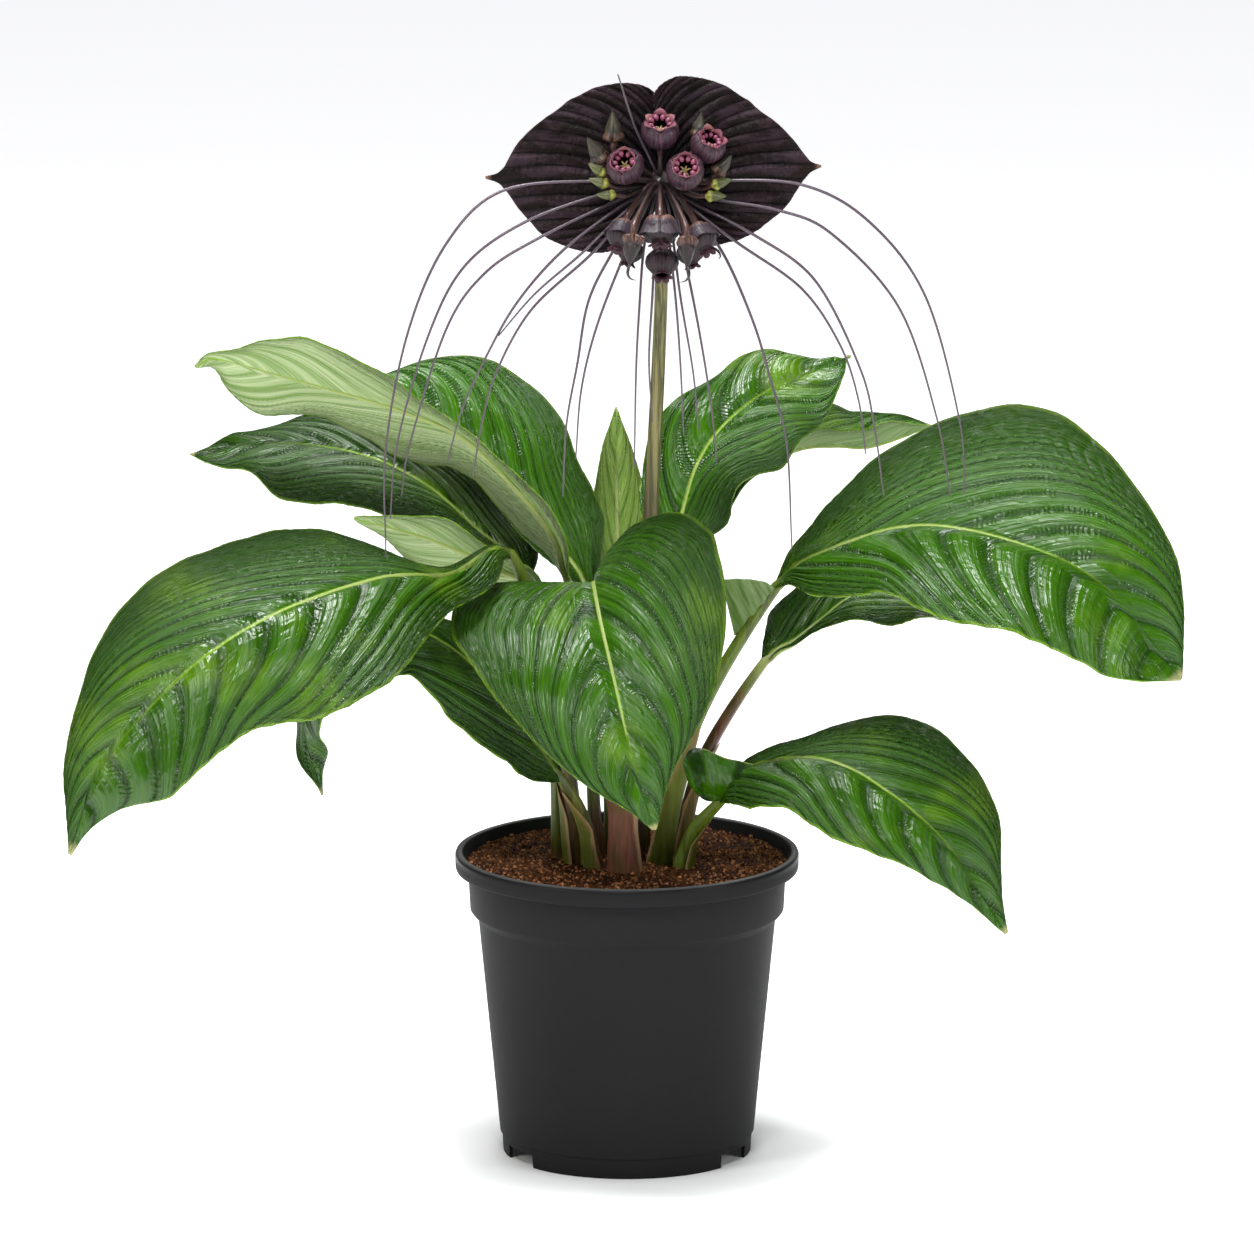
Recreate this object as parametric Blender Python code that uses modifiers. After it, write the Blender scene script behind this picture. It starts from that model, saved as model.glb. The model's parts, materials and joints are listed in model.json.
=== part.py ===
"""A bat flower (Tacca) in bloom, standing in a round black nursery pot.

Origin on the axis of the pot, at the surface that it stands on. +Z is up and the bloom looks along -Y.
Sizes below are in millimetres, and the helpers turn them into Blender's metres.
"""

import math

import bmesh
import bpy
import numpy as np
from mathutils import Matrix, Vector, noise

MM = 0.001
GAP = 0.35  # clearance where two pieces touch
TAU = 2 * math.pi

# Pot: outer radii and heights, from the foot up to the rolled lip
POT_HEIGHT = 170.0
POT_STEPS = 24
FOOT_RADIUS, FOOT_HEIGHT = 68.6, 11.0
BODY_LOW_RADIUS, BODY_TOP_RADIUS, BODY_TOP = 70.4, 82.1, 132.5
BAND_LOW_RADIUS, BAND_TOP_RADIUS, BAND_LOW, BAND_TOP = 86.7, 87.9, 137.0, 159.5
LIP_RADIUS, LIP_WIDTH = 95.0, 4.6
WALL = 1.8
FLOOR_LOW, FLOOR_TOP = 10.0, 12.0
NOTCH_ANGLES = (90.0, 210.0, 330.0)
NOTCH_WIDTH, NOTCH_HEIGHT = 26.0, 7.5
DRAIN_RADIUS, DRAIN_AT = 5.0, 50.0
CENTRE_FOOT_RADIUS = 28.0

# Soil
SOIL_TOP = 164.0
SOIL_BUMP = 0.9
SOIL_SEED = 11.0

# Leaf stalks stand this deep in the soil, and halfway up they have gone this share of the way out to the blade
STALK_DEPTH = 24.0
STALK_LEAN = 0.30
STALK_SIDES = 6
BLADE_THICK = 0.9
BLADE_ROWS = 10

# Half-widths of the blades are given at these shares of the way from base to tip
STATIONS = (0, 0.08, 0.16, 0.26, 0.38, 0.50, 0.62, 0.74, 0.84, 0.92, 0.965, 1)

# Each leaf: foot is where its stalk leaves the soil, rib the line of the midrib from the blade's base to its tip,
# and left and right the half-widths on the two sides of the way it grows. roll turns the blade about its rib, at
# the base and at the tip, in degrees, and twist turns it further from a share of its length to the tip. fold is
# how far the halves rise from the rib at the base and the tip, and droop how far their margins fall again. wave is
# the height and number of the margin's waves, and lobe how far the two corners reach back past the stalk's end.
LEAVES = {
    "leaf_front_left": dict(
        foot=(-29, -3), stalk=5.0, roll=(28, 42), fold=(0, 0), droop=0.26, wave=(3.0, 3.3),
        left=(3, 17, 22, 40, 61, 64, 47, 43, 36, 13, 4, 1), right=(2, 5, 14, 44, 65, 70, 64, 52, 30, 13, 6, 1),
        rib=((-64, -17, 341), (-96, -46, 336), (-133, -82, 342), (-186, -115, 331), (-227, -134, 310),
             (-260, -143, 280), (-286, -148, 246), (-301, -149, 203)),
    ),
    "leaf_front": dict(
        foot=(-1, -24), stalk=7.4, roll=(-32, -6), fold=(30, -4), droop=0.12, wave=(2.5, 2.2), lobe=(4, -18),
        left=(4, 48, 63, 70, 69, 62, 50, 34, 20, 10, 5, 1), right=(4, 50, 67, 74, 73, 65, 52, 36, 22, 10, 5, 1),
        rib=((-20, -18, 318), (-16, -54, 312), (-9, -87, 284), (0, -109, 244), (11, -116, 204)),
    ),
    "leaf_low_left": dict(
        foot=(-19, -15), stalk=4.8, roll=(36, 30), fold=(12, 12), droop=0.25, wave=(3.0, 3.1), twist=(0.84, 120),
        left=(3, 25, 35, 41, 42, 38, 31, 22, 14, 9, 5, 1), right=(2, 12, 17, 19, 20, 18, 15, 11, 9, 7, 4, 1),
        rib=((-36, -28, 217), (-63, -38, 256), (-91, -43, 290), (-124, -46, 306), (-156, -49, 290),
             (-176, -50, 256), (-167, -46, 212)),
    ),
    "leaf_high_left": dict(
        foot=(-17, 10), stalk=3.8, roll=(-44, -54), fold=(12, 12), droop=0.22, wave=(2.5, 2.8),
        left=(3, 9, 11, 10, 10, 15, 34, 43, 26, 9, 4, 1), right=(5, 24, 27, 27, 38, 43, 34, 31, 37, 22, 7, 1),
        rib=((-33, 4, 322), (-42, 6, 350), (-71, 12, 383), (-93, 17, 401), (-125, 25, 413), (-157, 33, 421),
             (-195, 41, 430), (-227, 47, 437), (-238, 49, 432)),
    ),
    "leaf_back_left": dict(
        foot=(-8, 20), stalk=4.0, roll=(40, 36), fold=(14, 14), droop=0.30, wave=(2.5, 2.6),
        left=(3, 8, 11, 12, 12, 12, 12, 11, 9, 6, 3, 1), right=(4, 18, 34, 41, 45, 56, 60, 55, 39, 22, 9, 1),
        rib=((-22, 22, 312), (-48, 41, 343), (-77, 60, 374), (-109, 75, 395), (-151, 88, 415)),
    ),
    "leaf_mid_left": dict(
        foot=(-27, 14), stalk=3.8, roll=(26, 22), fold=(10, 10), droop=0.25, wave=(3.0, 3.0), twist=(0.84, -105),
        left=(3, 8, 9, 14, 35, 45, 46, 45, 26, 16, 8, 1), right=(5, 28, 39, 41, 34, 33, 37, 27, 20, 15, 8, 1),
        rib=((-56, 50, 312), (-85, 60, 340), (-112, 69, 362), (-148, 78, 377), (-195, 88, 381), (-243, 96, 373)),
    ),
    "leaf_inner_left": dict(
        foot=(-38, 7), stalk=3.4, roll=(-56, -60), fold=(12, 12), droop=0.2, wave=(1.5, 2.4),
        left=(3, 8, 10, 11, 13, 17, 17, 13, 9, 5, 3, 1), right=(4, 18, 30, 36, 38, 34, 27, 17, 9, 5, 3, 1),
        rib=((-48, -2, 312), (-72, 0, 329), (-107, 0, 345), (-150, 1, 357)),
    ),
    "leaf_young": dict(
        foot=(-4, 31), stalk=3.2, roll=(0, 0), fold=(24, 24), droop=0.1, wave=(1.0, 2.0),
        left=(2, 9, 14, 17, 19, 18, 14, 11, 8, 4, 2, 0.5), right=(2, 9, 14, 17, 19, 19, 16, 12, 8, 4, 2, 0.5),
        rib=((-5, 68, 287), (-5.5, 71, 332), (-6, 74, 375), (-6, 76, 404)),
    ),
    "leaf_back_right": dict(
        foot=(8, 19), stalk=3.8, roll=(-34, -30), fold=(14, 14), droop=0.28, wave=(3.0, 3.2), twist=(0.95, 80),
        left=(3, 15, 24, 31, 35, 32, 31, 27, 15, 7, 4, 1), right=(3, 13, 25, 28, 35, 43, 43, 38, 30, 18, 8, 1),
        rib=((24, 20, 326), (31, 30, 356), (40, 40, 382), (57, 54, 402), (84, 70, 418), (124, 84, 431)),
    ),
    "leaf_far_right": dict(
        foot=(20, 21), stalk=3.8, roll=(-22, 15), fold=(14, 60), droop=0.10, wave=(2.0, 3.6),
        left=(3, 10, 14, 17, 22, 27, 30, 30, 26, 15, 7, 1), right=(3, 8, 10, 12, 14, 17, 19, 19, 16, 10, 5, 1),
        rib=((36, 42, 322), (48, 56, 346), (70, 72, 368), (95, 84, 379), (117, 92, 379), (136, 99, 377),
             (170, 110, 386)),
    ),
    "leaf_right": dict(
        foot=(18, -6), stalk=5.0, roll=(-36, -40), fold=(14, 14), droop=0.12, wave=(3.0, 3.0),
        left=(3, 16, 30, 56, 79, 85, 75, 53, 36, 21, 11, 1), right=(4, 30, 44, 54, 64, 69, 67, 61, 47, 34, 18, 1),
        rib=((82, -10, 321), (106, -16, 341), (157, -32, 360), (211, -56, 356), (259, -76, 336), (301, -88, 286)),
    ),
    "leaf_under_right": dict(
        foot=(28, 8), stalk=4.4, roll=(-24, -10), fold=(18, 18), droop=0.25, wave=(2.0, 3.0),
        left=(3, 13, 24, 31, 33, 34, 30, 26, 20, 11, 5, 1), right=(2, 3, 4, 6, 20, 40, 50, 48, 33, 18, 8, 1),
        rib=((76, 12, 274), (92, 20, 284), (108, 28, 295), (125, 36, 306), (149, 46, 308), (181, 58, 289)),
    ),
    "leaf_low_right": dict(
        foot=(31, -14), stalk=4.8, roll=(-26, -38), fold=(14, 14), droop=0.25, wave=(2.5, 3.2),
        left=(3, 8, 10, 20, 40, 53, 52, 39, 23, 11, 5, 1), right=(4, 24, 34, 42, 46, 46, 40, 25, 14, 7, 4, 1),
        rib=((52, -28, 205), (67, -40, 226), (103, -60, 236), (135, -76, 226), (173, -90, 196), (207, -96, 146)),
    ),
}

# Bloom: everything in it is placed from the hub by (right, forward, up), with the whole head tilted back
HUB = Vector((18.0, -20.0, 548.0))
HUB_TILT = 10.0
HUB_RADII = (7.0, 5.5, 7.0)
SCAPE_PATH = ((5, 5, 140), (5, 5, 166), (9, 6, 260), (13, 5, 360), (17, 3, 440), (19, -3, 500), (18.5, -10, 530))
SCAPE_RADIUS = (4.6, 3.3)

BRACT_THICK = 0.9
BRACT_ROWS = 4
# Each bract: side is -1 for the left one, margin the distance from the hub to its edge by the angle above the
# horizontal in degrees, behind how far its upper edge lies behind the other's
BRACTS = {
    "bract_left": dict(
        side=-1, behind=2.6,
        margin=((-80, 12), (-70, 29), (-62, 39), (-54, 46), (-47, 51.6), (-39, 58), (-33, 62.4), (-28, 67),
                (-23, 70.8), (-17, 73.8), (-12, 77), (-6.5, 81), (-2, 85.5), (0.6, 90), (1.8, 96), (3, 90),
                (5, 86.3), (8, 84.4), (13, 82), (19, 78.2), (25.5, 74), (34.5, 69.4), (44.5, 66), (53.5, 63.2),
                (62.5, 60.4), (70, 58.2), (78, 54.6), (85, 50.5), (91, 46)),
    ),
    "bract_right": dict(
        side=1, behind=0.0,
        margin=((-80, 12), (-70, 27), (-62, 36), (-54, 42), (-46, 46.5), (-38.5, 51), (-31.5, 55.5), (-25.5, 59.5),
                (-19, 63.4), (-13.5, 67.6), (-8, 71.4), (-3, 75), (1.5, 78.6), (4.4, 83), (6, 89), (7.4, 84.5),
                (10, 81.5), (15, 78), (21.5, 74.2), (29, 70.5), (37, 67), (46.5, 65), (56.5, 63.4), (66, 62),
                (75, 60.2), (82, 58), (89, 54), (95, 47)),
    ),
}

STALK_RADIUS, STALK_NECK = 1.5, 2.1
# Florets: base is the point where its stalk meets it, axis the way that its mouth or point looks
FLORETS = {
    "flower_top": dict(kind="open", base=(0, 13, 21), axis=(0.0, 0.62, 0.78), size=1.06),
    "flower_upper_right": dict(kind="open", base=(23.5, 12, 15), axis=(0.30, 0.70, 0.64), size=1.0),
    "flower_left": dict(kind="open", base=(-17.5, 17, 5.5), axis=(-0.16, 0.88, 0.44), size=1.05),
    "flower_right": dict(kind="open", base=(13, 18, 2.5), axis=(0.05, 0.90, 0.43), size=1.07),
    "drooping_flower_front": dict(kind="winged", base=(0, 40, -20), axis=(0.0, 0.25, -0.97), size=1.1),
    "drooping_flower_middle": dict(kind="drooping", base=(1, 19, -37), axis=(0.0, 0.55, -0.83), size=0.95),
    "drooping_flower_left": dict(kind="drooping", base=(-19, 30, -22), axis=(-0.3, 0.3, -0.9), size=0.9),
    "drooping_flower_right": dict(kind="drooping", base=(20, 31, -24), axis=(0.35, 0.3, -0.88), size=0.9),
    "drooping_flower_low_left": dict(kind="drooping", base=(-15, 13, -31), axis=(-0.2, 0.1, -0.97), size=0.8),
    "drooping_flower_low_right": dict(kind="drooping", base=(15, 12, -32), axis=(0.2, 0.1, -0.97), size=0.8),
    "hanging_bud_left": dict(kind="bud", base=(-14.5, 49, -27), axis=(-0.12, 0.3, -0.95), size=1.05),
    "hanging_bud_right": dict(kind="bud", base=(14, 50, -28), axis=(0.05, 0.3, -0.95), size=1.05),
    "brown_bud_upper_left": dict(kind="bud", base=(-25, 12, 22.5), axis=(-0.05, 0.25, 0.96), size=1.0),
    "brown_bud_left": dict(kind="bud", base=(-31, 13, 11), axis=(-0.5, 0.3, 0.81), size=1.0),
    "brown_bud_upper_right": dict(kind="bud", base=(20, 6, 24), axis=(0.18, 0.05, 0.98), size=0.85),
    "brown_bud_right": dict(kind="bud", base=(30.5, 15, 5), axis=(0.6, 0.3, 0.74), size=0.8),
    "green_bud_left_high": dict(kind="green", base=(-30, 17, 4), axis=(-0.75, 0.3, 0.58), size=1.0),
    "green_bud_left_middle": dict(kind="green", base=(-28, 18, -1), axis=(-0.9, 0.3, 0.3), size=1.0),
    "green_bud_left_low": dict(kind="green", base=(-24, 18, -6.5), axis=(-0.97, 0.25, 0.05), size=0.95),
    "green_bud_right_high": dict(kind="green", base=(28, 18, -1.5), axis=(0.9, 0.3, 0.3), size=1.0),
    "green_bud_right_low": dict(kind="green", base=(24.5, 18, -7), axis=(0.97, 0.25, 0.0), size=1.0),
}

# Whiskers: points (right, forward, up) from the hub. They lean with the head down to this depth, then hang plumb.
WHISKER_LEAN_TO = 50.0
WHISKER_RADIUS = (1.0, 0.42)
WHISKER_RINGS = 9
WHISKERS = (
    ((-30, 10, 3), (-85, 16, -1), (-116, 24, -28), (-137, 34, -75), (-149, 42, -138), (-149, 48, -196)),
    ((-30, 9, -4), (-73, 15, -18), (-106, 18, -41), (-126, 20, -79), (-143, 22, -138), (-147, 24, -180)),
    ((-28, 8, -10), (-66, 14, -27), (-95, 17, -45), (-116, 19, -75), (-136, 21, -138), (-141, 22, -168)),
    ((-24, 7, -13), (-54, 12, -35), (-78, 15, -62), (-95, 17, -92), (-108, 18, -121), (-116, 19, -150)),
    ((-20, 6, -15), (-43, 11, -36), (-68, 14, -57), (-88, 16, -80)),
    ((-17, 5, -15), (-38, 9, -37), (-70, 13, -66), (-89, 15, -100), (-97, 16, -128), (-102, 16, -158)),
    ((-12, 4, -15), (-26, 7, -36), (-39, 10, -62), (-45, 12, -96), (-51, 13, -130), (-53, 13, -170)),
    ((-9, 3, -15), (-21, 6, -41), (-35, 8, -78), (-43, 9, -112), (-46, 9, -150)),
    ((-5, 2, -15), (-9, 3, -36), (-11, 5, -62), (-13, 6, -100), (-14, 6, -155)),
    ((-2, 2, -16), (-4, 3, -57), (-6, 4, -96), (-4, 4, -130)),
    ((3, 2, -16), (8, 3, -57), (11, 4, -96), (13, 4, -138)),
    ((5, 3, -15), (11, 4, -60), (18, 5, -102), (21, 5, -134)),
    ((8, 3, -14), (15, 3, -47), (22, 6, -83), (28, 8, -121), (31, 8, -152)),
    ((14, 4, -14), (33, 9, -34), (50, 13, -71), (60, 15, -104), (69, 17, -140), (72, 17, -198)),
    ((18, 6, -13), (42, 11, -30), (77, 15, -54), (98, 17, -85), (108, 18, -115), (112, 18, -145)),
    ((21, 7, -11), (50, 12, -25), (84, 16, -49), (109, 18, -98), (117, 19, -132), (122, 19, -168)),
    ((28, 8, -7), (64, 14, -12), (93, 17, -24), (130, 19, -64), (151, 21, -126), (158, 22, -168)),
    ((30, 9, 3), (77, 16, 2), (113, 18, -17), (144, 20, -57), (163, 22, -126), (166, 24, -166)),
    ((-5, 4, 13), (-14, 6, 33), (-23, 5, 61)),
)

# Finishes: colour and roughness
FINISHES = {
    "pot_plastic": ((0.035, 0.036, 0.038), 0.45),
    "soil": ((0.060, 0.032, 0.020), 0.95),
    "leaf": ((0.045, 0.180, 0.020), 0.30),
    "scape": ((0.150, 0.140, 0.060), 0.50),
    "bract": ((0.030, 0.020, 0.024), 0.60),
    "umbel": ((0.060, 0.030, 0.035), 0.40),
    "open_flower": ((0.120, 0.045, 0.075), 0.45),
    "drooping_flower": ((0.075, 0.040, 0.055), 0.50),
    "brown_bud": ((0.110, 0.075, 0.055), 0.50),
    "green_bud": ((0.200, 0.250, 0.050), 0.45),
}


# Curves through points

def smooth(points, spans=8):
    """A polyline along a Catmull-Rom curve through the points, with the given number of steps between each two."""
    p = [Vector(q) for q in points]
    p = [2 * p[0] - p[1], *p, 2 * p[-1] - p[-2]]
    line = []
    for i in range(1, len(p) - 2):
        for step in range(spans):
            t = step / spans
            a = -t + 2 * t**2 - t**3
            b = 2 - 5 * t**2 + 3 * t**3
            c = t + 4 * t**2 - 3 * t**3
            d = t**3 - t**2
            line.append(0.5 * (a * p[i - 1] + b * p[i] + c * p[i + 1] + d * p[i + 2]))
    line.append(p[-2])
    return line


class Line:
    """A polyline that is read by the share of its length."""

    def __init__(self, points):
        self.points = points
        steps = [(b - a).length for a, b in zip(points, points[1:])]
        self.at_point = np.concatenate([[0.0], np.cumsum(steps)])
        self.length = self.at_point[-1]

    def at(self, share):
        where = share * self.length
        i = int(np.clip(np.searchsorted(self.at_point, where) - 1, 0, len(self.points) - 2))
        t = (where - self.at_point[i]) / (self.at_point[i + 1] - self.at_point[i])
        return self.points[i].lerp(self.points[i + 1], t)

    def tangent(self, share, reach=0.03):
        return (self.at(min(share + reach, 1)) - self.at(max(share - reach, 0))).normalized()


def read(table, where):
    """A smooth reading of a table of (place, value) pairs."""
    places = [row[0] for row in table]
    values = [row[1] for row in table]
    slopes = np.gradient(values, places)
    i = int(np.clip(np.searchsorted(places, where) - 1, 0, len(places) - 2))
    step = places[i + 1] - places[i]
    t = min(max((where - places[i]) / step, 0), 1)
    h = (2 * t**3 - 3 * t**2 + 1, t**3 - 2 * t**2 + t, 3 * t**2 - 2 * t**3, t**3 - t**2)
    return h[0] * values[i] + h[1] * step * slopes[i] + h[2] * values[i + 1] + h[3] * step * slopes[i + 1]


# Objects, and what joins or cuts them

def clear_scene():
    for obj in list(bpy.data.objects):
        bpy.data.objects.remove(obj)


def new_collection(name, shown):
    collection = bpy.data.collections.new(name)
    bpy.context.scene.collection.children.link(collection)
    collection.hide_render = not shown
    return collection


def new_materials():
    made = {}
    for name, (colour, roughness) in FINISHES.items():
        material = bpy.data.materials.new(name)
        material.use_nodes = True
        shader = material.node_tree.nodes["Principled BSDF"]
        shader.inputs["Base Color"].default_value = (*colour, 1)
        shader.inputs["Roughness"].default_value = roughness
        shader.inputs["Metallic"].default_value = 0.0
        made[name] = material
    return made


def new_object(name, data, collection):
    obj = bpy.data.objects.new(name, data)
    collection.objects.link(obj)
    return obj


def from_bmesh(name, shape, collection):
    mesh = bpy.data.meshes.new(name)
    shape.to_mesh(mesh)
    shape.free()
    return new_object(name, mesh, collection)


def baked(obj):
    """The object as a plain mesh, with its modifiers applied and its doubles merged."""
    bpy.context.view_layer.update()
    graph = bpy.context.evaluated_depsgraph_get()
    mesh = bpy.data.meshes.new_from_object(obj.evaluated_get(graph))
    shape = bmesh.new()
    shape.from_mesh(mesh)
    bmesh.ops.remove_doubles(shape, verts=shape.verts, dist=1e-6)
    shape.to_mesh(mesh)
    shape.free()
    name, world, collection = obj.name, obj.matrix_world.copy(), obj.users_collection[0]
    bpy.data.objects.remove(obj)
    made = new_object(name, mesh, collection)
    made.matrix_world = world
    return made


def tube(name, points, radii, collection, sides=STALK_SIDES):
    """A round bar along the points, with a radius in millimetres at each."""
    curve = bpy.data.curves.new(name, "CURVE")
    curve.dimensions = "3D"
    curve.bevel_depth = MM
    curve.bevel_resolution = (sides - 4) // 2
    curve.use_fill_caps = True
    spline = curve.splines.new("POLY")
    spline.points.add(len(points) - 1)
    for target, point, radius in zip(spline.points, points, radii):
        target.co = (*(point * MM), 1)
        target.radius = radius
    return baked(new_object(name, curve, collection))


def turned(name, profile, steps, collection):
    """A profile of (radius, height) pairs in millimetres, spun round +Z. It runs down its outer side."""
    mesh = bpy.data.meshes.new(name)
    mesh.from_pydata([(r * MM, 0, z * MM) for r, z in profile], [(i, i + 1) for i in range(len(profile) - 1)], [])
    obj = new_object(name, mesh, collection)
    screw = obj.modifiers.new("Turn", "SCREW")
    screw.axis = "Z"
    screw.steps = screw.render_steps = steps
    screw.use_merge_vertices = True
    screw.merge_threshold = 1e-5
    return baked(obj)


def boolean(obj, others, operation, solver="EXACT"):
    """Joins the others to obj or cuts them from it, in one step, and removes them."""
    group = bpy.data.collections.new("operands")
    for other in others:
        group.objects.link(other)
    modifier = obj.modifiers.new(operation, "BOOLEAN")
    modifier.operation = operation
    modifier.operand_type = "COLLECTION"
    modifier.collection = group
    modifier.solver = solver
    made = baked(obj)
    for other in list(group.objects):
        bpy.data.objects.remove(other)
    bpy.data.collections.remove(group)
    return made


def finish(obj, material, smooth_angle=40):
    obj.data.materials.clear()
    obj.data.materials.append(material)
    obj.data.shade_smooth()
    obj.data.set_sharp_from_angle(angle=math.radians(smooth_angle))


# Pot and soil

def wall_radius(z):
    """Outer radius of the pot's wall at a height."""
    heights = (FOOT_HEIGHT, BODY_TOP, BAND_LOW, BAND_TOP, POT_HEIGHT)
    radii = (BODY_LOW_RADIUS, BODY_TOP_RADIUS, BAND_LOW_RADIUS, BAND_TOP_RADIUS, LIP_RADIUS - LIP_WIDTH + WALL)
    return float(np.interp(z, heights, radii))


def make_pot(parts, work):
    lip_low = BAND_TOP + 0.3
    profile = [
        (0, WALL),
        (CENTRE_FOOT_RADIUS - WALL, WALL),
        (CENTRE_FOOT_RADIUS + 3 - WALL, FLOOR_TOP),
        (wall_radius(FLOOR_TOP) - WALL, FLOOR_TOP),
        (BODY_TOP_RADIUS - WALL, BODY_TOP + 0.4),
        (BAND_LOW_RADIUS - WALL, BAND_LOW + 0.4),
        (BAND_TOP_RADIUS - WALL, BAND_TOP),
        (LIP_RADIUS - LIP_WIDTH, POT_HEIGHT - 1.2),
        (LIP_RADIUS - LIP_WIDTH + 1.2, POT_HEIGHT),
        (LIP_RADIUS - 1.4, POT_HEIGHT),
        (LIP_RADIUS, POT_HEIGHT - 1.6),
        (LIP_RADIUS - 0.3, lip_low + 1.0),
        (LIP_RADIUS - 1.4, lip_low),
        (BAND_TOP_RADIUS, lip_low),
        (BAND_LOW_RADIUS, BAND_LOW),
        (BODY_TOP_RADIUS, BODY_TOP),
        (BODY_LOW_RADIUS, FOOT_HEIGHT + 0.6),
        (FOOT_RADIUS + 0.6, FOOT_HEIGHT),
        (FOOT_RADIUS, 0),
        (FOOT_RADIUS - WALL, 0),
        (FOOT_RADIUS - WALL, FLOOR_LOW),
        (CENTRE_FOOT_RADIUS + 3, FLOOR_LOW),
        (CENTRE_FOOT_RADIUS, 0),
        (0, 0),
    ]
    pot = turned("pot", profile, POT_STEPS, parts)
    cutters = []
    for angle in NOTCH_ANGLES:
        turn = Matrix.Rotation(math.radians(angle - 90), 4, "Z")
        shape = bmesh.new()
        bmesh.ops.create_cube(shape, size=1)
        size = (NOTCH_WIDTH * MM, 16 * MM, 2 * NOTCH_HEIGHT * MM)
        bmesh.ops.scale(shape, vec=size, verts=shape.verts)
        notch = from_bmesh("notch", shape, work)
        notch.matrix_world = turn @ Matrix.Translation((0, FOOT_RADIUS * MM, 0))
        cutters.append(notch)
        shape = bmesh.new()
        radius = DRAIN_RADIUS * MM
        bmesh.ops.create_cone(shape, segments=10, radius1=radius, radius2=radius, depth=20 * MM, cap_ends=True)
        drain = from_bmesh("drain", shape, work)
        drain.matrix_world = turn @ Matrix.Translation((0, DRAIN_AT * MM, FLOOR_TOP * MM))
        cutters.append(drain)
    return boolean(pot, cutters, "DIFFERENCE")


def make_soil(parts, work, feet):
    edge = wall_radius(SOIL_TOP) - WALL - GAP
    profile = [(share * edge, SOIL_TOP) for share in (0, 0.2, 0.4, 0.62, 0.84, 1.0)]
    profile += [
        (BAND_TOP_RADIUS - WALL - GAP, BAND_TOP + GAP),
        (BAND_LOW_RADIUS - WALL - GAP, BAND_LOW + 0.4 + GAP),
        (BODY_TOP_RADIUS - WALL - GAP, BODY_TOP + 0.4 + GAP),
        (wall_radius(FLOOR_TOP) - WALL - GAP, FLOOR_TOP + GAP),
        (0, FLOOR_TOP + GAP),
    ]
    soil = turned("soil", profile, POT_STEPS, parts)
    for vertex in soil.data.vertices:
        x, y, z = vertex.co / MM
        if z > SOIL_TOP - 1 and math.hypot(x, y) < 0.9 * edge:
            vertex.co.z += SOIL_BUMP * MM * noise.noise(Vector((x / 13, y / 13, SOIL_SEED)))
    holes = []
    for (x, y), radius in feet:
        shape = bmesh.new()
        wide = (radius + GAP) / math.cos(math.pi / 8) * MM
        depth = (STALK_DEPTH + 12) * MM
        bmesh.ops.create_cone(shape, segments=8, radius1=wide, radius2=wide, depth=depth, cap_ends=True)
        hole = from_bmesh("stalk_hole", shape, work)
        hole.location = (x * MM, y * MM, (SOIL_TOP - STALK_DEPTH - 0.4) * MM + depth / 2)
        holes.append(hole)
    return boolean(soil, holes, "DIFFERENCE")


# Leaves

def leaf_lines(leaf):
    """The stalk's line from the soil's surface to the blade, and the midrib's line on to the tip."""
    foot = Vector((*leaf["foot"], SOIL_TOP + 2))
    base = Vector(leaf["rib"][0])
    lean = foot.lerp(base, 0.5)
    lean.x = foot.x + STALK_LEAN * (base.x - foot.x)
    lean.y = foot.y + STALK_LEAN * (base.y - foot.y)
    line = smooth([foot, lean, *leaf["rib"]])
    return Line(line[:17]), Line(line[16:])


def blade_frame(leaf, rib, share):
    """The point of the midrib, the direction across the blade and the one out of its upper face."""
    base, tip = rib.at(0), rib.at(1)
    heading = Vector((tip.x - base.x, tip.y - base.y, 0)).normalized()
    along = rib.tangent(share)
    across = Vector((heading.y, -heading.x, 0))
    across = (across - along * across.dot(along)).normalized()
    start, turn = leaf.get("twist", (0.8, 0))
    near_tip = max(0.0, (share - start) / (1 - start))
    turn *= near_tip**2 * (3 - 2 * near_tip)
    roll = math.radians(leaf["roll"][0] + share * (leaf["roll"][1] - leaf["roll"][0]) + turn)
    across = Matrix.Rotation(-roll, 3, along) @ across
    return rib.at(share), across, across.cross(along)


def half_width(leaf, share, side):
    """Half-width of the blade on one side of its rib, at a share of its length."""
    widths = leaf["right" if side > 0 else "left"]
    return max(0.5, read(list(zip(STATIONS, widths)), share))


def blade_point(leaf, rib, share, side):
    """A point of the blade: share runs from its base to its tip, side from -1 to 1 across it."""
    point, across, out = blade_frame(leaf, rib, share)
    half = half_width(leaf, share, side)
    edge = abs(side)
    fold = math.radians(leaf["fold"][0] + share * (leaf["fold"][1] - leaf["fold"][0]))
    height, count = leaf["wave"]
    wave = height * edge**2.5 * math.sin(TAU * (count * share + 0.21 * math.copysign(1, side)))
    wave *= min(1.0, half / 20)
    rise = half * (edge * math.sin(fold) - leaf["droop"] * edge**2) + wave
    lobe = leaf.get("lobe", (0, 0))[1 if side > 0 else 0] * edge**1.4 * (1 - share) ** 3
    back = out.cross(across) * lobe
    return point + across * (side * half * math.cos(fold)) + out * rise + back


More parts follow.
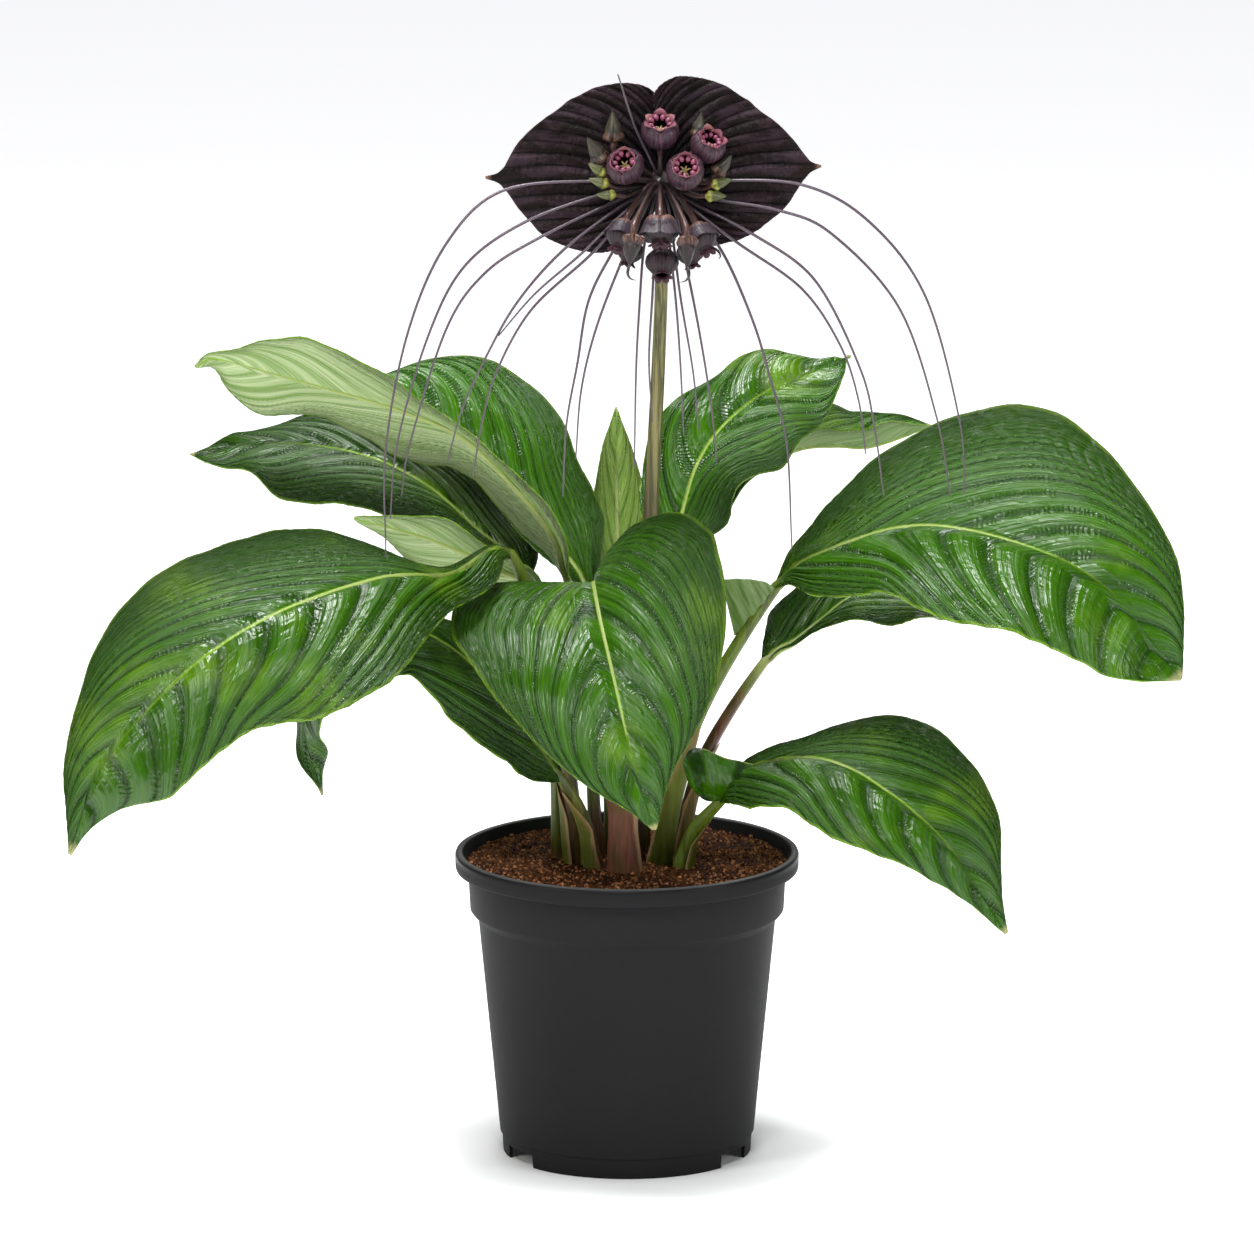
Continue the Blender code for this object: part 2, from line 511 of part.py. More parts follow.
def make_leaf(name, leaf, parts, work):
    stalk, rib = leaf_lines(leaf)
    columns = 6 if max(leaf["left"]) + max(leaf["right"]) > 120 else 4
    shape = bmesh.new()
    bmesh.ops.create_grid(shape, x_segments=columns, y_segments=BLADE_ROWS, size=1)
    for vertex in shape.verts:
        vertex.co = blade_point(leaf, rib, (vertex.co.y + 1) / 2, vertex.co.x) * MM
    bmesh.ops.triangulate(shape, faces=shape.faces)
    blade = from_bmesh(name, shape, parts)
    thick = blade.modifiers.new("Thickness", "SOLIDIFY")
    thick.thickness = BLADE_THICK * MM
    thick.offset = 0
    blade = baked(blade)
    radius = leaf["stalk"]
    foot = Vector((*leaf["foot"], SOIL_TOP - STALK_DEPTH))
    points = [foot, *[stalk.at(t) for t in (0, 0.2, 0.4, 0.6, 0.8, 1)]]
    radii = [radius, radius, radius * 0.94, radius * 0.86, radius * 0.77, radius * 0.68, radius * 0.58]
    for share in (0.14, 0.32, 0.50, 0.66):
        point, _, out = blade_frame(leaf, rib, share)
        thickness = radius * (0.5 - 0.42 * share)
        points.append(point - out * thickness * 0.6)
        radii.append(thickness)
    bar = tube("stalk", points, radii, work)
    return boolean(blade, [bar], "UNION")


# Bloom

TILT = math.radians(HUB_TILT)
RIGHT = Vector((1, 0, 0))
FORWARD = Vector((0, -math.cos(TILT), math.sin(TILT)))
UP = Vector((0, math.sin(TILT), math.cos(TILT)))


def from_hub(place):
    return HUB + RIGHT * place[0] + FORWARD * place[1] + UP * place[2]


def hanging(place):
    """A whisker's point: it clears the bracts, which lean with the head, and then hangs plumb."""
    right, forward, up = place
    lean = min(max(-up, 0), WHISKER_LEAN_TO) * math.sin(TILT)
    return HUB + Vector((right, -forward - lean, up))


def make_hub(name, collection, grown=0.0):
    shape = bmesh.new()
    bmesh.ops.create_uvsphere(shape, u_segments=12, v_segments=8, radius=1)
    size = [(radius + grown) * MM for radius in HUB_RADII]
    bmesh.ops.scale(shape, vec=size, verts=shape.verts)
    hub = from_bmesh(name, shape, collection)
    hub.matrix_world = Matrix.Translation(HUB * MM) @ Matrix.Rotation(-TILT, 4, "X")
    return hub


def scape_bar(name, collection, grown=0.0):
    """The flower stem, from under the soil to the back of the hub."""
    line = Line(smooth(SCAPE_PATH[1:]))
    shares = np.linspace(0, 1, 10)
    points = [Vector(SCAPE_PATH[0]), *[line.at(share) for share in shares], from_hub((0, -3.5, -4.5))]
    radii = [SCAPE_RADIUS[0] + share * (SCAPE_RADIUS[1] - SCAPE_RADIUS[0]) for share in (0, *shares, 1)]
    return tube(name, points, [radius + grown for radius in radii], collection, sides=8)


def make_scape(parts, work):
    return boolean(scape_bar("scape", parts), [make_hub("hub_seat", work, grown=GAP)], "DIFFERENCE")


def bract_point(bract, angle, share):
    """A point of a bract, by its angle above the horizontal and its share of the way from hub to margin."""
    reach = share * read(bract["margin"], angle)
    a = math.radians(angle)
    right = bract["side"] * reach * math.cos(a)
    up = reach * math.sin(a)
    forward = -5.8 + 3.6 * (1 - math.exp(-((reach / 20) ** 2))) - 0.0012 * right**2
    forward += 0.9 * math.sin(a * 15) * share * min(1, reach / 25)
    forward += 2.2 * math.sin(a * 4 + bract["side"]) * share**3
    overlap = max(0.0, min(1.0, (angle - 70) / 14))
    forward -= bract["behind"] * overlap * min(1, reach / 8)
    return from_hub((right, forward, up))


def make_bract(name, bract, parts, work):
    angles = [angle for angle, _ in bract["margin"]]
    shape = bmesh.new()
    bmesh.ops.create_grid(shape, x_segments=len(angles) - 1, y_segments=BRACT_ROWS, size=1)
    for vertex in shape.verts:
        column = round((vertex.co.x + 1) / 2 * (len(angles) - 1))
        share = 0.06 + 0.94 * (vertex.co.y + 1) / 2
        vertex.co = bract_point(bract, angles[column], share) * MM
    bmesh.ops.triangulate(shape, faces=shape.faces)
    sheet = from_bmesh(name, shape, parts)
    thick = sheet.modifiers.new("Thickness", "SOLIDIFY")
    thick.thickness = BRACT_THICK * MM
    thick.offset = 0
    seats = [make_hub("hub_seat", work, grown=GAP), scape_bar("scape_seat", work, grown=GAP)]
    return boolean(baked(sheet), seats, "DIFFERENCE")


def floret_stalk(floret):
    """Points from the hub's middle to just short of the floret's base."""
    base = Vector(floret["base"])
    axis = Vector(floret["axis"]).normalized()
    lift = Vector((0, 5, 6)) if axis.z < 0 else Vector((0, 1, -1))
    line = smooth([(0, 0, 0), base * 0.38 + lift, base - axis * 6], 2)
    return [from_hub(point) for point in (*line, base - axis * GAP)]


def make_umbel(parts, work):
    """Hub with the stalks of the florets and the whiskers, grown as one piece."""
    hub = make_hub("umbel", parts)
    grown = []
    for name, floret in FLORETS.items():
        line = floret_stalk(floret)
        slim = 0.62 if floret["kind"] == "green" else 1.0
        radii = [STALK_RADIUS * slim] * (len(line) - 1) + [STALK_NECK * slim]
        grown.append(tube(name + "_stalk", line, radii, work, sides=4 if slim < 1 else 6))
    for places in WHISKERS:
        line = Line(smooth([hanging(place) for place in ((0, 0, 0), *places)]))
        shares = [i / WHISKER_RINGS for i in range(WHISKER_RINGS + 1)]
        radii = [WHISKER_RADIUS[0] + t * (WHISKER_RADIUS[1] - WHISKER_RADIUS[0]) for t in shares]
        grown.append(tube("whisker", [line.at(t) for t in shares], radii, work, sides=4))
    return boolean(hub, grown, "UNION", solver="MANIFOLD")


def lobed(obj, from_height, lobes, spread, lift):
    """Draws the rim of a turned cup out into pointed lobes above a height."""
    for vertex in obj.data.vertices:
        x, y, z = vertex.co / MM
        share = max(0.0, (z - from_height) / 4.0)
        wave = abs(math.cos(0.5 * lobes * math.atan2(y, x))) ** 1.5 - 0.5
        vertex.co.x *= 1 + spread * share * wave
        vertex.co.y *= 1 + spread * share * wave
        vertex.co.z += lift * share * wave * MM


def ball(name, centre, radii, collection):
    shape = bmesh.new()
    bmesh.ops.create_uvsphere(shape, u_segments=4, v_segments=3, radius=1)
    bmesh.ops.scale(shape, vec=[radius * MM for radius in radii], verts=shape.verts)
    obj = from_bmesh(name, shape, collection)
    obj.location = Vector(centre) * MM
    return obj


def open_flower(name, size, parts, work):
    """A round cup of six tepals that close in at the mouth, with six hooded stamens and a star in it."""
    profile = [(0, 4.2), (4.6, 5.0), (7.4, 9.0), (6.7, 12.4), (5.4, 14.4), (6.3, 15.2), (8.1, 13.4),
               (9.3, 9.8), (8.7, 5.8), (6.0, 2.2), (2.1, 0), (0, 0)]
    cup = turned(name, [(r * size, z * size) for r, z in profile], 12, parts)
    lobed(cup, 11.5 * size, 6, 0.08, 1.3)
    inside = []
    for i in range(6):
        angle = TAU * (i + 0.5) / 6
        centre = Vector((5.6 * math.cos(angle), 5.6 * math.sin(angle), 10.8)) * size
        inside.append(ball("stamen", centre, [1.6 * size] * 3, work))
    inside.append(ball("star", Vector((0, 0, 5.4)) * size, (2.2 * size, 2.2 * size, 2.2 * size), work))
    return boolean(cup, inside, "UNION")


def wing(name, size, angle, collection):
    """One outer tepal bent back over the flower like an awning."""
    shape = bmesh.new()
    bmesh.ops.create_grid(shape, x_segments=4, y_segments=3, size=1)
    for vertex in shape.verts:
        across, out = vertex.co.x, (vertex.co.y + 1) / 2
        half = (5.2 + 3.0 * out) * (1 - 0.45 * out**4)
        reach = 2.5 + 8.6 * out
        fall = 1.2 + 5.2 * out**1.6 + 1.8 * across**2
        vertex.co = Vector((reach, across * half, fall)) * size * MM
    bmesh.ops.triangulate(shape, faces=shape.faces)
    sheet = from_bmesh(name, shape, collection)
    thick = sheet.modifiers.new("Thickness", "SOLIDIFY")
    thick.thickness = 0.9 * MM
    thick.offset = 0
    sheet = baked(sheet)
    sheet.matrix_world = Matrix.Rotation(math.radians(angle), 4, "Z")
    return sheet


def drooping_flower(name, size, parts, work, winged):
    """A spent flower: a lantern with its tepals drawn together round a small ragged mouth."""
    profile = [(0, 11.5), (2.6, 12.0), (3.4, 15.2), (5.6, 13.6), (8.2, 10.2), (8.8, 7.0), (7.6, 3.6),
               (4.2, 1.2), (2.2, 0.3), (2.2, 0), (0, 0)]
    body = turned(name, [(r * size, z * size) for r, z in profile], 12, parts)
    lobed(body, 9.5 * size, 6, 0.10, 1.6)
    if winged:
        wings = [wing("wing", size, angle, work) for angle in (42, 138, 270)]
        body = boolean(body, wings, "UNION")
    return body


def bud(name, size, parts):
    """A pointed bud: three swollen knobs round the base of a closed cone."""
    profile = [(0, 17.5), (0.7, 16.6), (2.4, 12.4), (4.2, 8.0), (4.9, 5.2), (5.2, 3.2), (4.0, 1.0), (1.9, 0), (0, 0)]
    body = turned(name, [(r * size, z * size) for r, z in profile], 12, parts)
    for vertex in body.data.vertices:
        x, y, z = vertex.co / MM
        swell = 0.16 * math.exp(-(((z - 3.2 * size) / 2.2) ** 2)) * math.cos(3 * math.atan2(y, x))
        vertex.co.x *= 1 + swell
        vertex.co.y *= 1 + swell
    return body


def green_bud(name, size, parts):
    """A young bud, bent over at its shoulder."""
    profile = [(0, 12.0), (0.9, 10.6), (2.2, 7.0), (2.9, 4.2), (2.6, 2.0), (1.5, 0.6), (1.3, 0), (0, 0)]
    body = turned(name, [(r * size, z * size) for r, z in profile], 8, parts)
    for vertex in body.data.vertices:
        vertex.co.x += 0.9 * MM * math.sin(vertex.co.z / MM / size / 12 * math.pi)
    return body


def make_floret(name, floret, parts, work):
    kind, size = floret["kind"], floret["size"]
    if kind == "open":
        body = open_flower(name, size, parts, work)
    elif kind in ("drooping", "winged"):
        body = drooping_flower(name, size, parts, work, kind == "winged")
    elif kind == "bud":
        body = bud(name, size, parts)
    else:
        body = green_bud(name, size, parts)
    axis = (RIGHT * floret["axis"][0] + FORWARD * floret["axis"][1] + UP * floret["axis"][2]).normalized()
    turn = axis.to_track_quat("Z", "Y").to_matrix().to_4x4()
    body.matrix_world = Matrix.Translation(from_hub(floret["base"]) * MM) @ turn
    return body


def floret_finish(name, kind):
    if kind == "open":
        return "open_flower"
    if kind == "green":
        return "green_bud"
    if name.startswith("brown"):
        return "brown_bud"
    return "drooping_flower"


def main():
    clear_scene()
    parts = new_collection("bat_flower", True)
    work = new_collection("cutters", False)
    materials = new_materials()
    feet = [(leaf["foot"], leaf["stalk"]) for leaf in LEAVES.values()]
    feet.append((SCAPE_PATH[0][:2], SCAPE_RADIUS[0]))
    finish(make_pot(parts, work), materials["pot_plastic"])
    finish(make_soil(parts, work, feet), materials["soil"])
    for name, leaf in LEAVES.items():
        finish(make_leaf(name, leaf, parts, work), materials["leaf"])
    finish(make_scape(parts, work), materials["scape"])
    for name, bract in BRACTS.items():
        finish(make_bract(name, bract, parts, work), materials["bract"])
    finish(make_umbel(parts, work), materials["umbel"])
    for name, floret in FLORETS.items():
        finish(make_floret(name, floret, parts, work), materials[floret_finish(name, floret["kind"])])


main()
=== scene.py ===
"""A bat flower in bloom in its nursery pot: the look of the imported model, piece by piece."""

import json
import math

import bmesh
import bpy
import numpy as np
from mathutils import Matrix, Vector, noise

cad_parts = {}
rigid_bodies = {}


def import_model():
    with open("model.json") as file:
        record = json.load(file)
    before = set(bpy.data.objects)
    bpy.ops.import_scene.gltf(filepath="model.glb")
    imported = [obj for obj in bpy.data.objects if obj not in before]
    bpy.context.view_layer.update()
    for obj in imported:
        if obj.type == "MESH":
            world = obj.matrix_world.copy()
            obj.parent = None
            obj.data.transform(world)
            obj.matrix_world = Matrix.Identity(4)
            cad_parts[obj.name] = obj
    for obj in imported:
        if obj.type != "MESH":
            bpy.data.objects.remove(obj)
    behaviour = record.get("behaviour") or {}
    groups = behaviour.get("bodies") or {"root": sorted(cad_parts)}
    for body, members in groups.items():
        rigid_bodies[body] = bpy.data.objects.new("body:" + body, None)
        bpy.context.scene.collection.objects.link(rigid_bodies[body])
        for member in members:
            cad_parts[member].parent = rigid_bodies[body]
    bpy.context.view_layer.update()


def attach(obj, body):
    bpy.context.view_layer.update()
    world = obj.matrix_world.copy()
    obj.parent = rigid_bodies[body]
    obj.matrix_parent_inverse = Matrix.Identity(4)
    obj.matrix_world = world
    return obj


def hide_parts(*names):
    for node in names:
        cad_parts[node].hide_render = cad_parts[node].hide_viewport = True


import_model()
MM = 0.001
TAU = 2 * math.pi


# The pot
# A round nursery pot, moulded in one piece in charcoal black plastic with a fine satin grain. Its lip is
# rolled over, a wide band stiffens the top, and three notches in the foot let the water out.

def tone(red, green, blue):
    """A colour given in the 0 to 255 steps of a paint chart, as the linear light that a shader takes."""
    steps = (red / 255, green / 255, blue / 255)
    return tuple(s / 12.92 if s <= 0.04045 else ((s + 0.055) / 1.055) ** 2.4 for s in steps)


class Wire:
    """A socket in a material's nodes. Sums that are written with it add Math nodes."""

    def __init__(self, paint, socket):
        self.paint = paint
        self.socket = socket

    def maths(self, operation, *values):
        return self.paint.node("ShaderNodeMath", {"operation": operation}, dict(enumerate(values)))

    def __add__(self, other):
        return self.maths("ADD", self, other)

    __radd__ = __add__

    def __sub__(self, other):
        return self.maths("SUBTRACT", self, other)

    def __rsub__(self, other):
        return self.maths("SUBTRACT", other, self)

    def __mul__(self, other):
        return self.maths("MULTIPLY", self, other)

    __rmul__ = __mul__

    def __pow__(self, other):
        return self.maths("POWER", self, other)


class Paint:
    """A material, and the one way in which its nodes are added. Nothing on the plant or its pot is metal."""

    def __init__(self, name, fixed):
        self.material = bpy.data.materials.new(name)
        self.material.use_nodes = True
        self.nodes = self.material.node_tree.nodes
        self.shader = self.nodes["Principled BSDF"]
        for socket, value in {"Metallic": 0.0, **fixed}.items():
            self.feed(self.shader.inputs[socket], value)
        self.place = self.node("ShaderNodeTexCoord", {}, {}, "Object")

    def feed(self, socket, value):
        if isinstance(value, Wire):
            self.material.node_tree.links.new(value.socket, socket)
        elif isinstance(value, tuple) and socket.type == "RGBA":
            socket.default_value = (*value, 1)
        else:
            socket.default_value = value

    def node(self, kind, settings, values, out=0):
        made = self.nodes.new(kind)
        for name, value in settings.items():
            setattr(made, name, value)
        for name, value in values.items():
            self.feed(made.inputs[name], value)
        return Wire(self, made.outputs[out])

    def value(self, name):
        """A number that the mesh carries at each of its points."""
        return self.node("ShaderNodeAttribute", {"attribute_name": name}, {}, "Fac")

    def size_of(self, value):
        """The value without its sign."""
        return self.node("ShaderNodeMath", {"operation": "ABSOLUTE"}, {0: value})

    def zigzag(self, value):
        """0 at every whole number, and 0.5 half-way between two."""
        return self.node("ShaderNodeMath", {"operation": "PINGPONG"}, {0: value, 1: 0.5})

    def joined(self, x, y, z=0.0):
        return self.node("ShaderNodeCombineXYZ", {}, {0: x, 1: y, 2: z})

    def cloud(self, vector, scale, detail=3.0, roughness=0.55, distortion=0.0):
        values = {"Vector": vector, "Scale": scale, "Detail": detail, "Roughness": roughness,
                  "Distortion": distortion}
        return self.node("ShaderNodeTexNoise", {}, values)

    def strands(self, squeeze, scale, detail=3.0, roughness=0.6):
        """A cloud drawn out along +Z, the more the smaller squeeze is."""
        settings = {"operation": "MULTIPLY"}
        drawn = self.node("ShaderNodeVectorMath", settings, {0: self.place, 1: (1.0, 1.0, squeeze)})
        return self.cloud(drawn, scale, detail, roughness)

    def ramp(self, value, low, high):
        """A soft step from 0 at low to 1 at high, which may be the smaller of the two."""
        values = {"Value": value, "From Min": low, "From Max": high}
        return self.node("ShaderNodeMapRange", {"interpolation_type": "SMOOTHSTEP"}, values)

    def blend(self, mask, a, b):
        return self.node("ShaderNodeMix", {"data_type": "RGBA"}, {0: mask, 6: a, 7: b}, 2)

    def relief(self, *layers):
        """Bumps laid over each other. A layer is its height, from 0 to 1, and its depth in millimetres."""
        normal = None
        for height, depth in layers:
            values = {"Height": height, "Distance": depth * MM, "Strength": 1.0}
            if normal is not None:
                values["Normal"] = normal
            normal = self.node("ShaderNodeBump", {}, values)
        self.feed(self.shader.inputs["Normal"], normal)

    def colour(self, value):
        self.feed(self.shader.inputs["Base Color"], value)

    def roughness(self, value):
        self.feed(self.shader.inputs["Roughness"], value)


def new_object(name, data):
    """An object in the scene, at the origin."""
    obj = bpy.data.objects.new(name, data)
    bpy.context.scene.collection.objects.link(obj)
    return obj


# Points of a mesh that lie closer than this are one point, in metres
MERGED = 2e-6


class Shell:
    """Sheets of points gathered into one mesh. Each point carries its place along and across its sheet."""

    def __init__(self):
        self.points = []
        self.faces = []
        self.slots = []
        self.values = {}
        self.count = 0

    def add_layer(self, grid, values, flip, wrap, slot):
        rows, columns = grid.shape[:2]
        index = np.arange(rows * columns).reshape(rows, columns) + self.count
        if wrap:
            index = np.hstack([index, index[:, :1]])
        quads = np.stack([index[:-1, :-1], index[:-1, 1:], index[1:, 1:], index[1:, :-1]], axis=2)
        quads = quads.reshape(-1, 4)
        if flip:
            quads = quads[:, ::-1]
        self.faces.append(quads)
        self.slots.append(np.full(len(quads), slot))
        self.points.append(grid.reshape(-1, 3))
        for name, value in values.items():
            everywhere = np.broadcast_to(value, (rows, columns))
            self.values.setdefault(name, []).append(everywhere.reshape(-1))
        self.count += rows * columns
        return index

    def add(self, grid, thick=0.0, wrap=False, slots=(0, 0), **values):
        """A sheet from a grid of points: one layer, or two, thick metres apart and joined at the rim."""
        rows, columns = grid.shape[:2]
        values.setdefault("along", np.linspace(0, 1, rows)[:, None])
        values.setdefault("across", np.linspace(-1, 1, columns)[None, :])
        if not thick:
            self.add_layer(grid, values, False, wrap, slots[0])
            return self
        side = np.roll(grid, -1, 1) - np.roll(grid, 1, 1) if wrap else np.gradient(grid, axis=1)
        out = np.cross(side, np.gradient(grid, axis=0))
        out /= np.linalg.norm(out, axis=2, keepdims=True) + 1e-15
        top = self.add_layer(grid + out * thick / 2, values, False, wrap, slots[0])
        low = self.add_layer(grid - out * thick / 2, values, True, wrap, slots[1])
        edges = [(top[0, ::-1], low[0, ::-1]), (top[-1], low[-1])]
        if not wrap:
            edges += [(top[:, 0], low[:, 0]), (top[::-1, -1], low[::-1, -1])]
        for a, b in edges:
            quads = np.stack([a[:-1], a[1:], b[1:], b[:-1]], axis=1)
            self.faces.append(quads)
            self.slots.append(np.full(len(quads), slots[0]))
        return self

    def make(self, name, materials, turn=None):
        mesh = bpy.data.meshes.new(name)
        mesh.from_pydata(np.concatenate(self.points).tolist(), [], np.concatenate(self.faces).tolist())
        for key, parts in self.values.items():
            layer = mesh.attributes.new(key, "FLOAT", "POINT")
            layer.data.foreach_set("value", np.concatenate(parts))
        mesh.polygons.foreach_set("material_index", np.concatenate(self.slots).astype(np.int32))
        for paint in materials:
            mesh.materials.append(paint.material)
        if turn is not None:
            mesh.transform(turn)
        shape = bmesh.new()
        shape.from_mesh(mesh)
        bmesh.ops.remove_doubles(shape, verts=shape.verts, dist=MERGED)
        bmesh.ops.recalc_face_normals(shape, faces=shape.faces)
        shape.to_mesh(mesh)
        shape.free()
        mesh.shade_smooth()
        return new_object(name, mesh)


def baked(obj):
    """The object as a plain mesh, with what its modifiers made."""
    bpy.context.view_layer.update()
    graph = bpy.context.evaluated_depsgraph_get()
    mesh = bpy.data.meshes.new_from_object(obj.evaluated_get(graph))
    name = obj.name
    bpy.data.objects.remove(obj)
    return new_object(name, mesh)


def grown(obj, slot, *nodes):
    """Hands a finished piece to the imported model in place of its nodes."""
    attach(obj, "root")
    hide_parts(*nodes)


def around(turn, radius, height):
    """A grid of points from their turns about +Z, with radii and heights in millimetres."""
    x, y, z = np.broadcast_arrays(radius * np.cos(turn), radius * np.sin(turn), height)
    return np.stack([x, y, z], axis=2) * MM


POT_STEPS = 160

POT_HEIGHT = 170.0
FOOT_RADIUS, FOOT_HEIGHT = 68.6, 11.0
BODY_LOW_RADIUS, BODY_TOP_RADIUS, BODY_TOP = 70.4, 82.1, 132.5
BAND_LOW_RADIUS, BAND_TOP_RADIUS, BAND_LOW, BAND_TOP = 86.7, 87.9, 137.0, 159.5
LIP_RADIUS, LIP_WIDTH = 95.0, 4.6
WALL = 1.8
FLOOR_LOW, FLOOR_TOP = 10.0, 12.0
NOTCH_ANGLES = (90.0, 210.0, 330.0)
NOTCH_WIDTH, NOTCH_HEIGHT = 26.0, 7.5
DRAIN_RADIUS, DRAIN_AT = 5.0, 50.0
CUTTER_DEPTH = 16.0
DRILL_LENGTH, DRILL_SIDES = 20.0, 32
CENTRE_FOOT_RADIUS = 28.0
# The pot's edges are drawn sharp where they turn by more than this, in degrees
SHARP_FROM = 50.0


def wall_radius(z):
    """Outer radius of the pot's wall at a height."""
    heights = (FOOT_HEIGHT, BODY_TOP, BAND_LOW, BAND_TOP, POT_HEIGHT)
    lip_radius = LIP_RADIUS - LIP_WIDTH + WALL
    radii = (BODY_LOW_RADIUS, BODY_TOP_RADIUS, BAND_LOW_RADIUS, BAND_TOP_RADIUS, lip_radius)
    return float(np.interp(z, heights, radii))


lip_low = BAND_TOP + 0.3
pot_profile = [
    (0, WALL), (CENTRE_FOOT_RADIUS - WALL, WALL), (CENTRE_FOOT_RADIUS + 3 - WALL, FLOOR_TOP),
    (wall_radius(FLOOR_TOP) - WALL, FLOOR_TOP), (BODY_TOP_RADIUS - WALL, BODY_TOP + 0.4),
    (BAND_LOW_RADIUS - WALL, BAND_LOW + 0.4), (BAND_TOP_RADIUS - WALL, BAND_TOP),
    (LIP_RADIUS - LIP_WIDTH, POT_HEIGHT - 1.6), (LIP_RADIUS - LIP_WIDTH + 0.6, POT_HEIGHT - 0.5),
    (LIP_RADIUS - LIP_WIDTH + 1.6, POT_HEIGHT), (LIP_RADIUS - 1.8, POT_HEIGHT),
    (LIP_RADIUS - 0.5, POT_HEIGHT - 0.7), (LIP_RADIUS, POT_HEIGHT - 2.2), (LIP_RADIUS - 0.2, lip_low + 1.4),
    (LIP_RADIUS - 0.6, lip_low + 0.3), (LIP_RADIUS - 1.4, lip_low), (BAND_TOP_RADIUS, lip_low),
    (BAND_LOW_RADIUS, BAND_LOW + 0.6), (BAND_LOW_RADIUS - 0.9, BAND_LOW - 0.6),
    (BODY_TOP_RADIUS + 0.9, BODY_TOP + 0.7), (BODY_TOP_RADIUS, BODY_TOP - 0.8),
    (BODY_LOW_RADIUS, FOOT_HEIGHT + 0.7), (FOOT_RADIUS + 0.7, FOOT_HEIGHT), (FOOT_RADIUS, 0.4),
    (FOOT_RADIUS - 0.4, 0), (FOOT_RADIUS - WALL, 0), (FOOT_RADIUS - WALL, FLOOR_LOW),
    (CENTRE_FOOT_RADIUS + 3, FLOOR_LOW), (CENTRE_FOOT_RADIUS, 0), (0, 0),
]


def turned(profile, steps):
    """A grid of points from a profile of (radius, height) pairs in millimetres, turned round +Z."""
    radius, height = np.array(profile, dtype=float).T[:, :, None]
    return around(np.arange(steps) / steps * TAU, radius, height)


plastic = Paint("pot_plastic", {"Specular IOR Level": 0.08})
level = plastic.node("ShaderNodeSeparateXYZ", {}, {0: plastic.place}, "Z")
lip = plastic.ramp(level, (POT_HEIGHT - 6) * MM, (POT_HEIGHT - 2) * MM)
# The lip's crest is painted lighter: a painted highlight, strongest where the scuffs are
crest_highlight = plastic.ramp(level, (POT_HEIGHT - 1.0) * MM, (POT_HEIGHT - 0.2) * MM)
grain = plastic.cloud(plastic.place, 900.0, 2.0)
haze = plastic.cloud(plastic.place, 14.0, 4.0, 0.6)
scuffs = plastic.strands(0.12, 300.0, 3.0, 0.7)
body = plastic.blend(haze, tone(27, 27, 28), tone(34, 34, 35))
body = plastic.blend(plastic.ramp(scuffs, 0.68, 0.88) * 0.2, body, tone(70, 69, 68))
plastic.colour(plastic.blend(crest_highlight * (0.35 + 0.5 * scuffs), body, tone(112, 112, 114)))
plastic.roughness(0.50 + 0.14 * haze + 0.05 * grain - 0.26 * lip)
plastic.relief((grain, 0.05), (haze, 0.25))

pot = Shell().add(turned(pot_profile, POT_STEPS), wrap=True).make("nursery_pot", [plastic])
cutters = bpy.data.collections.new("pot_cutters")
for angle in NOTCH_ANGLES:
    turn = Matrix.Rotation(math.radians(angle - 90), 4, "Z")
    notch = bpy.data.meshes.new("notch")
    shape = bmesh.new()
    bmesh.ops.create_cube(shape, size=1)
    size = Vector((NOTCH_WIDTH, CUTTER_DEPTH, 2 * NOTCH_HEIGHT)) * MM
    bmesh.ops.scale(shape, vec=size, verts=shape.verts)
    bmesh.ops.translate(shape, vec=(0, FOOT_RADIUS * MM, 0), verts=shape.verts)
    hole = bmesh.ops.create_cone(shape, segments=DRILL_SIDES, radius1=DRAIN_RADIUS * MM,
                                 radius2=DRAIN_RADIUS * MM, depth=DRILL_LENGTH * MM, cap_ends=True)
    bmesh.ops.translate(shape, vec=(0, DRAIN_AT * MM, FLOOR_TOP * MM), verts=hole["verts"])
    bmesh.ops.transform(shape, matrix=turn, verts=shape.verts)
    shape.to_mesh(notch)
    shape.free()
    cutters.objects.link(bpy.data.objects.new("notch", notch))
cut = pot.modifiers.new("notches", "BOOLEAN")
cut.operand_type = "COLLECTION"
cut.collection = cutters
cut.solver = "EXACT"
pot = baked(pot)
for cutter in list(cutters.objects):
    bpy.data.objects.remove(cutter)
bpy.data.collections.remove(cutters)
pot.data.set_sharp_from_angle(angle=math.radians(SHARP_FROM))
grown(pot, "pot_plastic", "pot")


# The soil
# Potting mix of peat and bark, filled in loosely to a little under the lip. It is a lumpy cake with
# thousands of loose crumbs on top, darker where it is damp, and the plant's stalks come up through it.

SOIL_TOP = 164.0
GAP = 0.35
CAKE_RINGS, CAKE_STEPS = 44, 180
# Each kind of lump on the cake: its pitch, its layer in the noise and its height
LUMPS = ((13.0, 11.0, 0.9), (3.2, 5.0, 1.1))
CRUMBS = 160000.0
CRUMB_SIZE = (0.8, 2.5)
# Crumbs lie where the cake faces up by more than the first and within the second of its top
CRUMB_SLOPE, CRUMB_DEPTH = 0.3, 4.0

